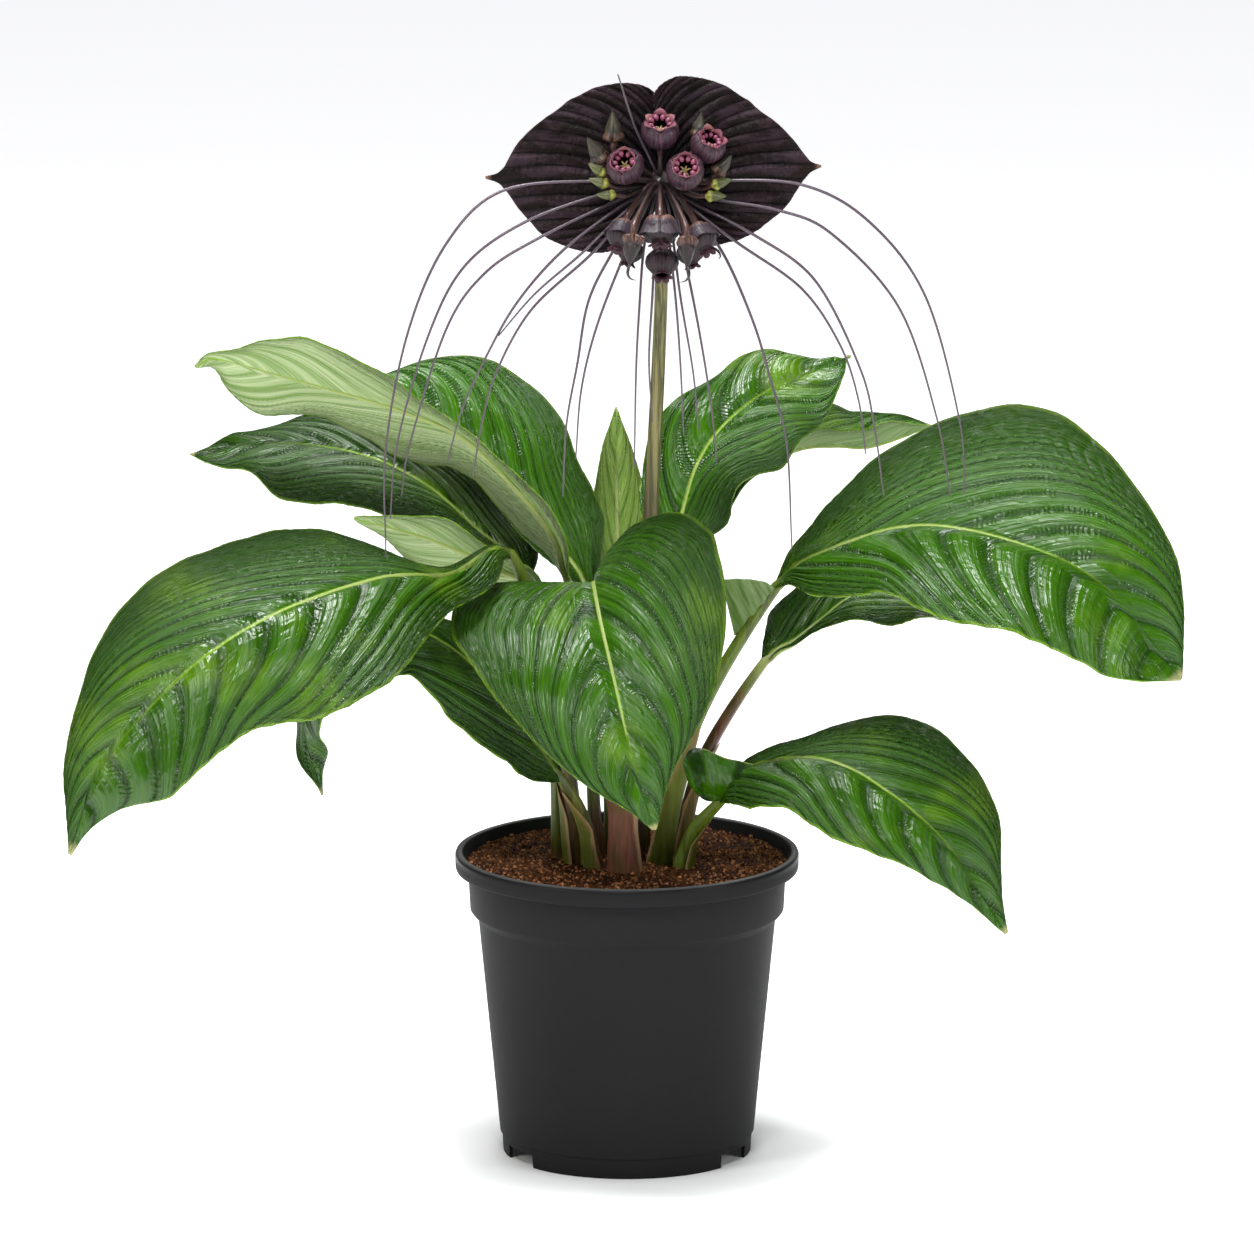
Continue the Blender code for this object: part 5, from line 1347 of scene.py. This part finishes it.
star_paint = Paint("stigma_star", {"Coat Weight": 0.3, "Specular IOR Level": 0.35})
flecks = star_paint.cloud(star_paint.place, 1400.0, 3.0, 0.6)
cream = star_paint.blend(flecks, tone(168, 128, 62), tone(232, 214, 168))
middle = star_paint.ramp(star_paint.value("along"), 0.35, 0.1)
star_paint.colour(star_paint.blend(middle, cream, tone(96, 56, 36)))
star_paint.roughness(0.4 + 0.2 * flecks)
star_paint.relief((flecks, 0.2))

# Parts that stand in a ring: the tree turns copies of the mesh round its own +Z, not quite evenly.
ring = Tree("ring_of_parts", {"Copies": 6, "First Turn": 0.0, "Unevenness": 0.14, "Seed": 1})
stand = ring.node("GeometryNodeMeshLine", {}, {"Count": ring.source["Copies"], "Offset": (0.0, 0.0, 0.0)})
step = ring.maths("DIVIDE", TAU, ring.source["Copies"])
index = ring.node("GeometryNodeInputIndex", {}, {})
turn = ring.maths("MULTIPLY_ADD", index, step, ring.source["First Turn"])
stray = ring.maths("MULTIPLY", ring.random(ring.source["Seed"], -1.0, 1.0), ring.source["Unevenness"])
turn = ring.node("ShaderNodeCombineXYZ", {}, {"Z": ring.maths("ADD", turn, stray)})
girth = ring.maths("MULTIPLY_ADD", stray, 0.7, 0.95)
copies = ring.node("GeometryNodeInstanceOnPoints", {}, {
    "Points": stand, "Instance": ring.source["Geometry"], "Rotation": turn, "Scale": girth})
ring.finish(copies, hood_paint)


def ringed(obj, turn, paint, **sizes):
    """Copies of one part all round a flower's axis, set where the flower stands."""
    made = ring.run(obj, paint, **sizes)
    made.data.transform(turn)
    return made


def tube(points, radii, sides, flat=1.0):
    """A closed round bar along points in millimetres. A flat under 1 thins it in the plane it curves in."""
    points = [Vector(p) for p in points]
    radii = np.interp(np.linspace(0, 1, len(points)), np.linspace(0, 1, len(radii)), radii)
    angles = [TAU * k / sides for k in range(sides)]
    rows = []
    for i, (point, radius) in enumerate(zip(points, radii)):
        along = (points[min(i + 1, len(points) - 1)] - points[max(i - 1, 0)]).normalized()
        side = Vector((0, 1, 0))
        side = (side - along * side.dot(along)).normalized()
        top = along.cross(side)
        rows.append([point + (side * math.cos(a) + top * math.sin(a) * flat) * radius for a in angles])
    rows = [[points[0]] * sides, *rows, [points[-1]] * sides]
    return Shell().add(np.array([[tuple(p) for p in row] for row in rows]) * MM, wrap=True)


def tepal_grid(centre, inner, flare):
    """One tepal of a cup, from its foot to its pointed tip, wrapped round the flower's axis."""
    share = np.linspace(0, 1, TEPAL_ROWS)[:, None]
    across = np.linspace(-1, 1, TEPAL_COLUMNS)
    inset = INNER_INSET if inner else 0.0
    _, rim, top = CUP[-1]
    profile = (*CUP, (0.91, rim + 0.35 * LIP_OUT * flare, top + 0.6 * LIP_UP),
               (1.0, rim + LIP_OUT * flare, top + LIP_UP * (1 - 0.3 * flare)))
    reach = share * (1 - TEPAL_POINT[inner] * abs(across) ** 1.15 * share**4)
    ribs = TEPAL_RIBS * np.cos(across * 22)
    bow = TEPAL_BOW * across**2 * np.sin(np.pi * np.minimum(1, share * 1.1)) + ribs
    radius = read(profile, reach, 1) - inset + bow
    width = TEPAL_HALF[inner] * (1 - 0.30 * np.maximum(0, share - 0.8) / 0.2)
    turn = centre + np.radians(width) * across
    return around(turn, radius, read(profile, reach, 2) - 0.8 * inset)


def floret_turn(floret):
    """Where a floret stands and the way that it looks, with its size."""
    right, forward, up = floret["axis"]
    turn = (RIGHT * right + FORWARD * forward + UP * up).normalized().to_track_quat("Z", "Y")
    place = Matrix.Translation(from_hub(floret["base"]) * MM)
    return place @ turn.to_matrix().to_4x4() @ Matrix.Scale(floret["size"], 4)


HOOD_LINE = smooth([(7.0, 0, 9.4), (6.8, 0, 12.2), (5.6, 0, 13.9), (4.3, 0, 13.8), (3.7, 0, 12.7)], 5)
HOOD_RADII, HOOD_SIDES, HOOD_FLAT = (0.7, 1.0, 1.45, 1.3, 0.6), 12, 0.75
ANTHER_LINE = smooth([(6.4, 0, 10.2), (5.3, 0, 12.3), (4.4, 0, 12.3)], 4)
ANTHER_RADII, ANTHER_SIDES = (0.3, 0.4, 0.62, 0.5), 8
STAR_LINE = smooth([(0.1, 0, 8.0), (1.0, 0, 9.4), (2.2, 0, 9.9), (3.1, 0, 9.3)], 4)
STAR_RADII, STAR_SIDES = (0.6, 0.55, 0.35), 8

for seed, (name, floret) in enumerate(FLORETS.items()):
    if floret["kind"] != "open":
        continue
    turn = floret_turn(floret)
    cup = Shell()
    for i in range(TEPALS):
        grid = tepal_grid(math.radians(90 + 360 / TEPALS * i), i % 2, floret["flare"])
        cup.add(grid, thick=TEPAL_THICK * MM, slots=(0, 1))
    cup = cup.make(name + "_cup", [tepal_out, tepal_in], turn)
    hood = tube(HOOD_LINE, HOOD_RADII, HOOD_SIDES, HOOD_FLAT).make(name + "_hoods", [hood_paint])
    hoods = ringed(hood, turn, hood_paint, copies=9, first_turn=0.5, unevenness=0.12, seed=seed)
    anther = tube(ANTHER_LINE, ANTHER_RADII, ANTHER_SIDES).make(name + "_anthers", [star_paint])
    anthers = ringed(anther, turn, tepal_in, copies=12, first_turn=0.25, unevenness=0.2, seed=seed)
    arm = tube(STAR_LINE, STAR_RADII, STAR_SIDES).make(name + "_star", [star_paint])
    star = ringed(arm, turn, star_paint, first_turn=0.2, seed=seed)
    for piece in (cup, hoods, anthers, star):
        grown(piece, "open_flower", name)


# The drooping flowers
# Older flowers nod below the hub. Their tepals have drawn together into ribbed lanterns with a ragged mouth,
# and some hold outer tepals bent back over them like awnings, grey purple with swollen copper shoulders.

spent = Paint("spent_tepals", {"Coat Weight": 0.15, "Coat Roughness": 0.3, "Specular IOR Level": 0.3,
                               "Sheen Weight": 0.05, "Sheen Roughness": 0.4})
along = spent.value("along")
stripe = spent.cloud(spent.joined(spent.value("across") * 34.0, along * 1.2), 1.0, 3.0, 0.65, 0.4)
speck = spent.cloud(spent.place, 520.0, 3.0, 0.65)
wilted = spent.blend(spent.ramp(stripe, 0.36, 0.64), tone(14, 7, 10), tone(58, 40, 48))
# Copper on the swollen shoulders at the top: their own copper colour and a painted highlight
copper_shoulder_and_highlight = spent.ramp(along, 0.26, 0.12) * spent.ramp(along, 0.0, 0.08)
wilted = spent.blend(copper_shoulder_and_highlight * spent.ramp(stripe, 0.40, 0.62) * 0.7, wilted, tone(98, 60, 46))
wilted = spent.blend(spent.ramp(along, 0.80, 1.0) * 0.6, wilted, tone(80, 36, 50))
spent.colour(spent.blend(spent.ramp(speck, 0.60, 0.78) * 0.3, wilted, tone(116, 96, 104)))
spent.roughness(0.38 + 0.2 * speck)
spent.relief((stripe, 0.5), (speck, 0.2))

awning = Paint("awning_tepals", {"Coat Weight": 0.12, "Coat Roughness": 0.3, "Specular IOR Level": 0.35,
                                 "Sheen Weight": 0.08, "Sheen Roughness": 0.4})
along = awning.value("along")
stripe = awning.cloud(awning.joined(awning.value("across") * 11.0, along * 0.9), 1.0, 4.0, 0.65, 0.4)
speck = awning.cloud(awning.place, 700.0, 3.0, 0.65)
slate = awning.blend(awning.ramp(stripe, 0.34, 0.66), tone(20, 12, 18), tone(68, 52, 66))
# Copper on the swollen shoulders at the top: their own copper colour and a painted highlight
copper_shoulder_and_highlight = awning.ramp(along, 0.46, 0.34) * awning.ramp(along, 0.10, 0.24)
slate = awning.blend(copper_shoulder_and_highlight * awning.ramp(stripe, 0.36, 0.56) * 0.85, slate, tone(134, 90, 70))
slate = awning.blend(awning.ramp(along, 0.22, 0.06), slate, tone(34, 16, 14))
awning.colour(awning.blend(awning.ramp(speck, 0.62, 0.78) * 0.3, slate, tone(130, 116, 128)))
awning.roughness(0.34 + 0.2 * speck)
awning.relief((stripe, 0.4), (speck, 0.2))

# Profiles: share of the way along a tepal, radius and height
LANTERN = ((0.0, 1.6, 0.0), (0.10, 4.6, 0.9), (0.22, 7.6, 3.2), (0.40, 8.7, 6.8), (0.58, 8.2, 10.0),
           (0.74, 5.8, 13.2), (0.86, 3.7, 15.0), (0.93, 3.9, 16.2), (1.0, 4.9, 17.2))
LANTERN_ROWS, LANTERN_COLUMNS = 38, 96
LANTERN_THICK = 0.5
# Shares of a lantern's radius: how far each tepal bulges, and its ribs
LANTERN_BULGE, LANTERN_RIBS = 0.13, 0.014
# Where the crown of tips starts, and how far each tip stands out, as a share of the radius, and down
CROWN_START, CROWN_FLARE, CROWN_DROP = 0.84, 0.45, 2.0
WINGED_HEIGHT = 0.72
AWNING = ((0.0, 1.2, 0.2), (0.12, 2.4, -0.8), (0.30, 5.6, -0.9), (0.45, 8.0, 1.4), (0.60, 8.8, 3.2),
          (0.80, 10.2, 6.0), (1.0, 11.6, 8.6))
AWNING_HALF = 50.0
AWNING_ROWS, AWNING_COLUMNS = 40, 41
AWNING_THICK = 0.6
# Where along it an awning is swollen and over what width, how far outwards and up, and its ripples likewise
SHOULDER, SHOULDER_OUT, SHOULDER_UP = (0.30, 0.12), 0.5, 0.9
RIPPLE_OUT, RIPPLE_UP = 0.35, 0.5
HOOKED = "drooping_flower_right"
HOOK_LINE = smooth([(2, 4, 15), (3.5, 6, 19), (3, 7, 23), (0, 7.5, 25)], 5)
HOOK_RADII, TAIL_SIDES = (0.6, 0.8, 0.5, 0.12), 10


def lantern_grid(height_scale):
    """Six tepals drawn together, bulging between their seams, with the tips standing out at the mouth."""
    share = np.linspace(0, 1, LANTERN_ROWS)[:, None]
    turn = TAU * np.arange(LANTERN_COLUMNS) / LANTERN_COLUMNS
    lobe = abs(np.cos(3 * turn)) ** 0.5 - 0.5
    ribs = LANTERN_RIBS * np.cos(30 * turn)
    bulge = 1 + LANTERN_BULGE * lobe * np.sin(np.pi * np.minimum(1, share * 1.15)) + ribs
    crown = np.maximum(0, share - CROWN_START) / (1 - CROWN_START)
    reach = read(LANTERN, share, 1) * bulge * (1 + CROWN_FLARE * crown * lobe)
    height = read(LANTERN, share, 2) + CROWN_DROP * crown * lobe
    return around(turn, reach, height * height_scale)


def awning_grid(angle):
    """One outer tepal: swollen where it springs from the stalk, then bent out and down like an awning."""
    share = np.linspace(0, 1, AWNING_ROWS)[:, None]
    across = np.linspace(-1, 1, AWNING_COLUMNS)
    out = share * (1 - 0.16 * abs(across) ** 5 * share**3)
    swell = bump(out, 1, *SHOULDER) * np.cos(across * 1.45)
    reach = read(AWNING, out, 1) + SHOULDER_OUT * swell - 0.9 * abs(across) ** 6 * out
    reach = reach + RIPPLE_OUT * np.sin(across * 5 + 1) * out**2
    fall = read(AWNING, out, 2) + 0.7 * across**2 - SHOULDER_UP * swell
    fall = fall + RIPPLE_UP * np.sin(across * 4 + out * 5) * out**2
    return around(np.radians(angle + AWNING_HALF * across), reach, fall)


for name, floret in FLORETS.items():
    if floret["kind"] not in ("drooping", "winged"):
        continue
    turn = floret_turn(floret)
    grid = lantern_grid(WINGED_HEIGHT if floret["kind"] == "winged" else 1.0)
    body = Shell().add(grid, thick=LANTERN_THICK * MM, wrap=True)
    grown(body.make(name + "_tepals", [spent], turn), "drooping_flower", name)
    if name == HOOKED:
        hook = tube(HOOK_LINE, HOOK_RADII, TAIL_SIDES).make(name + "_hook", [spent], turn)
        grown(hook, "drooping_flower", name)
    for number, angle in enumerate(floret.get("awnings", ())):
        cover = Shell().add(awning_grid(angle), thick=AWNING_THICK * MM)
        grown(cover.make(f"{name}_awning_{number + 1}", [awning], turn), "drooping_flower", name)


# The buds
# Unopened florets: three swollen knobs round the foot of a closed, folded beak. The oldest are bronze and
# those that hang are grey purple with a black hooked tail, while the youngest are still yellow green.

def bud_paint(name, knob_low, knob_high, beak_low, beak_high, tip):
    """Streaked knobs that pass into a streaked beak with a tip of its own tone."""
    paint = Paint(name, {"Coat Weight": 0.3, "Coat Roughness": 0.25, "Specular IOR Level": 0.35})
    along = paint.value("along")
    nerve = paint.cloud(paint.joined(paint.value("across") * 16.0, along * 2.0), 1.0, 4.0, 0.65, 0.7)
    speck = paint.cloud(paint.place, 900.0, 3.0, 0.7)
    knob = paint.blend(paint.ramp(nerve, 0.38, 0.62), knob_low, knob_high)
    beak = paint.blend(paint.ramp(nerve, 0.38, 0.64), beak_low, beak_high)
    skin = paint.blend(paint.ramp(along + 0.16 * (nerve - 0.5), 0.24, 0.40), knob, beak)
    skin = paint.blend(paint.ramp(along, 0.86, 1.0), skin, tip)
    paint.colour(paint.blend(paint.ramp(speck, 0.60, 0.74) * 0.45, skin, beak_low))
    paint.roughness(0.32 + 0.25 * speck)
    paint.relief((nerve, 0.35), (speck, 0.18))
    return paint


bud_finishes = {
    "brown_bud": bud_paint("bronze_bud", tone(42, 25, 19), tone(102, 74, 58), tone(23, 20, 17),
                           tone(76, 69, 52), tone(30, 28, 26)),
    "drooping_flower": bud_paint("purple_bud", tone(42, 25, 22), tone(112, 76, 60), tone(14, 10, 11),
                                 tone(60, 47, 48), tone(10, 8, 9)),
    "green_bud": bud_paint("green_bud", tone(126, 130, 44), tone(188, 188, 92), tone(52, 58, 34),
                           tone(120, 124, 72), tone(34, 36, 32)),
}
tail_paint = Paint("bud_tails", {"Coat Weight": 0.5, "Coat Roughness": 0.2})
flecks = tail_paint.cloud(tail_paint.place, 1200.0, 2.0, 0.6)
tail_paint.colour(tail_paint.blend(flecks, tone(14, 11, 13), tone(58, 50, 56)))
tail_paint.roughness(0.3 + 0.2 * flecks)
tail_paint.relief((flecks, 0.15))

# Profiles: share of the way along a bud, radius and height
BUD = ((0.0, 1.5, 0.0), (0.08, 3.6, 0.7), (0.20, 5.1, 2.8), (0.30, 4.95, 5.0), (0.45, 4.2, 7.9),
       (0.66, 2.7, 11.8), (0.86, 1.2, 15.4), (1.0, 0.12, 17.6))
GREEN_BUD = ((0.0, 1.2, 0.0), (0.08, 1.7, 0.7), (0.20, 2.7, 2.2), (0.34, 2.9, 4.2), (0.55, 2.2, 7.0),
             (0.80, 1.0, 10.4), (1.0, 0.12, 12.2))
GREEN_BEND = 0.9
BUD_ROWS, BUD_COLUMNS = 40, 54
# By what share of its radius a bud swells at its knobs and folds and narrows at its waist, then where
# along it and over what width
BUD_KNOBS, BUD_FOLDS, BUD_WAIST = (0.30, 0.19, 0.10), (0.16, 0.62, 0.3), (0.16, 0.35, 0.055)
# The tail's line on the right-hand bud, which the left-hand one has mirrored
TAIL = ((0, 0, 16.6), (0.4, 0, 19), (0.2, 0.5, 22), (-1.6, 1, 24.4), (-4.6, 1.4, 25.4))
TAIL_RADII = (0.7, 0.8, 0.6, 0.15)


def bud_grid(profile, bend):
    """A closed bud: knobs round its foot, a waist above them and three folds that wind up the beak."""
    share = np.linspace(0, 1, BUD_ROWS)[:, None]
    turn = TAU * np.arange(BUD_COLUMNS) / BUD_COLUMNS
    lobe = abs(np.cos(1.5 * turn))
    swell = bump(share, *BUD_KNOBS) * (lobe**0.7 * 2 - 1.15)
    fold = bump(share, *BUD_FOLDS) * abs(np.cos(1.5 * turn + 1.2 * share + 0.8)) ** 3
    waist = -bump(share, *BUD_WAIST) * (1.2 - lobe)
    height = read(profile, share, 2)
    grid = around(turn, read(profile, share, 1) * (1 + swell + fold + waist), height)
    grid[:, :, 0] += bend * np.sin(height / profile[-1][2] * np.pi) * MM
    grid[[0, -1]] = grid[[0, -1]].mean(axis=1, keepdims=True)
    return grid


for name, floret in FLORETS.items():
    if floret["kind"] not in ("bud", "green"):
        continue
    green = floret["kind"] == "green"
    slot = "green_bud" if green else "brown_bud" if name.startswith("brown") else "drooping_flower"
    grid = bud_grid(GREEN_BUD, GREEN_BEND) if green else bud_grid(BUD, 0.0)
    turn = floret_turn(floret)
    grown(Shell().add(grid, wrap=True).make(name + "_beak", [bud_finishes[slot]], turn), slot, name)
    if slot == "drooping_flower":
        side = -1 if name.endswith("left") else 1
        path = smooth([(x * side, y, z) for x, y, z in TAIL], 5)
        tail = tube(path, TAIL_RADII, TAIL_SIDES).make(name + "_tail", [tail_paint], turn)
        grown(tail, "drooping_flower", name)


# The studio
# A plain pale floor with a little painted shadow round the pot's foot, soft light from above, from the
# front, from both sides and from behind, and a camera with a long lens that looks down a little.

FLOOR_HALF = 14.0
# The floor's glow is painted darkest under the pot, out to the first radius: a painted shadow whose core
# ends at the second and the rest at the third, in metres.
SHADE_START, CORE_END, SHADE_END = 0.066, 0.080, 0.168

floor_paint = Paint("studio_floor", {"Specular IOR Level": 0.1, "Emission Strength": 0.78})
mist = floor_paint.cloud(floor_paint.place, 0.6, 2.0)
floor_paint.colour(floor_paint.blend(mist, tone(246, 246, 247), tone(250, 250, 250)))
floor_paint.roughness(0.9 + 0.05 * mist)
reach = floor_paint.node("ShaderNodeVectorMath", {"operation": "LENGTH"}, {0: floor_paint.place}, 1)
# A painted shadow in the floor's glow: near black under the pot, then fading out round its foot
painted_shadow = floor_paint.ramp(reach, SHADE_START, CORE_END)
painted_shadow = floor_paint.blend(painted_shadow, (0.02, 0.02, 0.02), (0.18, 0.18, 0.19))
glow = floor_paint.blend(floor_paint.ramp(reach, SHADE_START, SHADE_END), painted_shadow, (0.98, 0.98, 1.0))
floor_paint.feed(floor_paint.shader.inputs["Emission Color"], glow)
corners = [(x * FLOOR_HALF, y * FLOOR_HALF, 0) for x, y in ((-1, -1), (1, -1), (1, 1), (-1, 1))]
flat = bpy.data.meshes.new("studio_floor")
flat.from_pydata(corners, [], [(0, 1, 2, 3)])
flat.materials.append(floor_paint.material)
new_object("studio_floor", flat)

WHITE = (1.0, 1.0, 1.0)
# Each light: its place, the height that it points at on the pot's axis, its size, power and colour
LIGHTS = {
    "overhead": ((-0.25, 0.1, 2.1), 0.3, (0.7, 0.5), 36, WHITE),
    "left_window": ((-1.9, -1.5, 1.4), 0.35, (0.6, 1.2), 21, (1.0, 0.99, 0.97)),
    "front_window": ((-0.2, -1.8, 2.1), 0.3, (0.7, 0.35), 22, WHITE),
    "right_window": ((1.9, -1.2, 1.1), 0.3, (0.8, 1.2), 16, (0.97, 0.98, 1.0)),
    "back_window": ((0.3, 1.9, 1.6), 0.4, (1.4, 0.7), 13, WHITE),
}
for name, (place, aim, size, power, colour) in LIGHTS.items():
    lamp = bpy.data.lights.new(name, "AREA")
    lamp.shape = "RECTANGLE"
    lamp.size, lamp.size_y = size
    lamp.energy = power
    lamp.color = colour
    obj = new_object(name, lamp)
    obj.location = place
    obj.rotation_euler = (Vector((0, 0, aim)) - Vector(place)).to_track_quat("-Z", "Y").to_euler()

world = bpy.data.worlds.new("pale_room")
world.use_nodes = True
world.node_tree.nodes["Background"].inputs["Color"].default_value = (0.93, 0.95, 1.0, 1)
world.node_tree.nodes["Background"].inputs["Strength"].default_value = 0.10
bpy.context.scene.world = world
bpy.context.scene.view_settings.view_transform = "Standard"

ELEVATION = 12.5
DISTANCE = 7.0
# The width of the view at the plant and the height that the camera looks at, in metres
FIELD = 0.69
AIM_HEIGHT = 0.296
FARTHEST = 60.0
tip = math.radians(ELEVATION)
camera = new_object("camera", bpy.data.cameras.new("camera"))
camera.location = Vector((0, -math.cos(tip), math.sin(tip))) * DISTANCE + Vector((0, 0, AIM_HEIGHT))
camera.rotation_euler = (math.radians(90) - tip, 0, 0)
camera.data.lens = camera.data.sensor_width * DISTANCE / FIELD
camera.data.clip_end = FARTHEST
bpy.context.scene.camera = camera
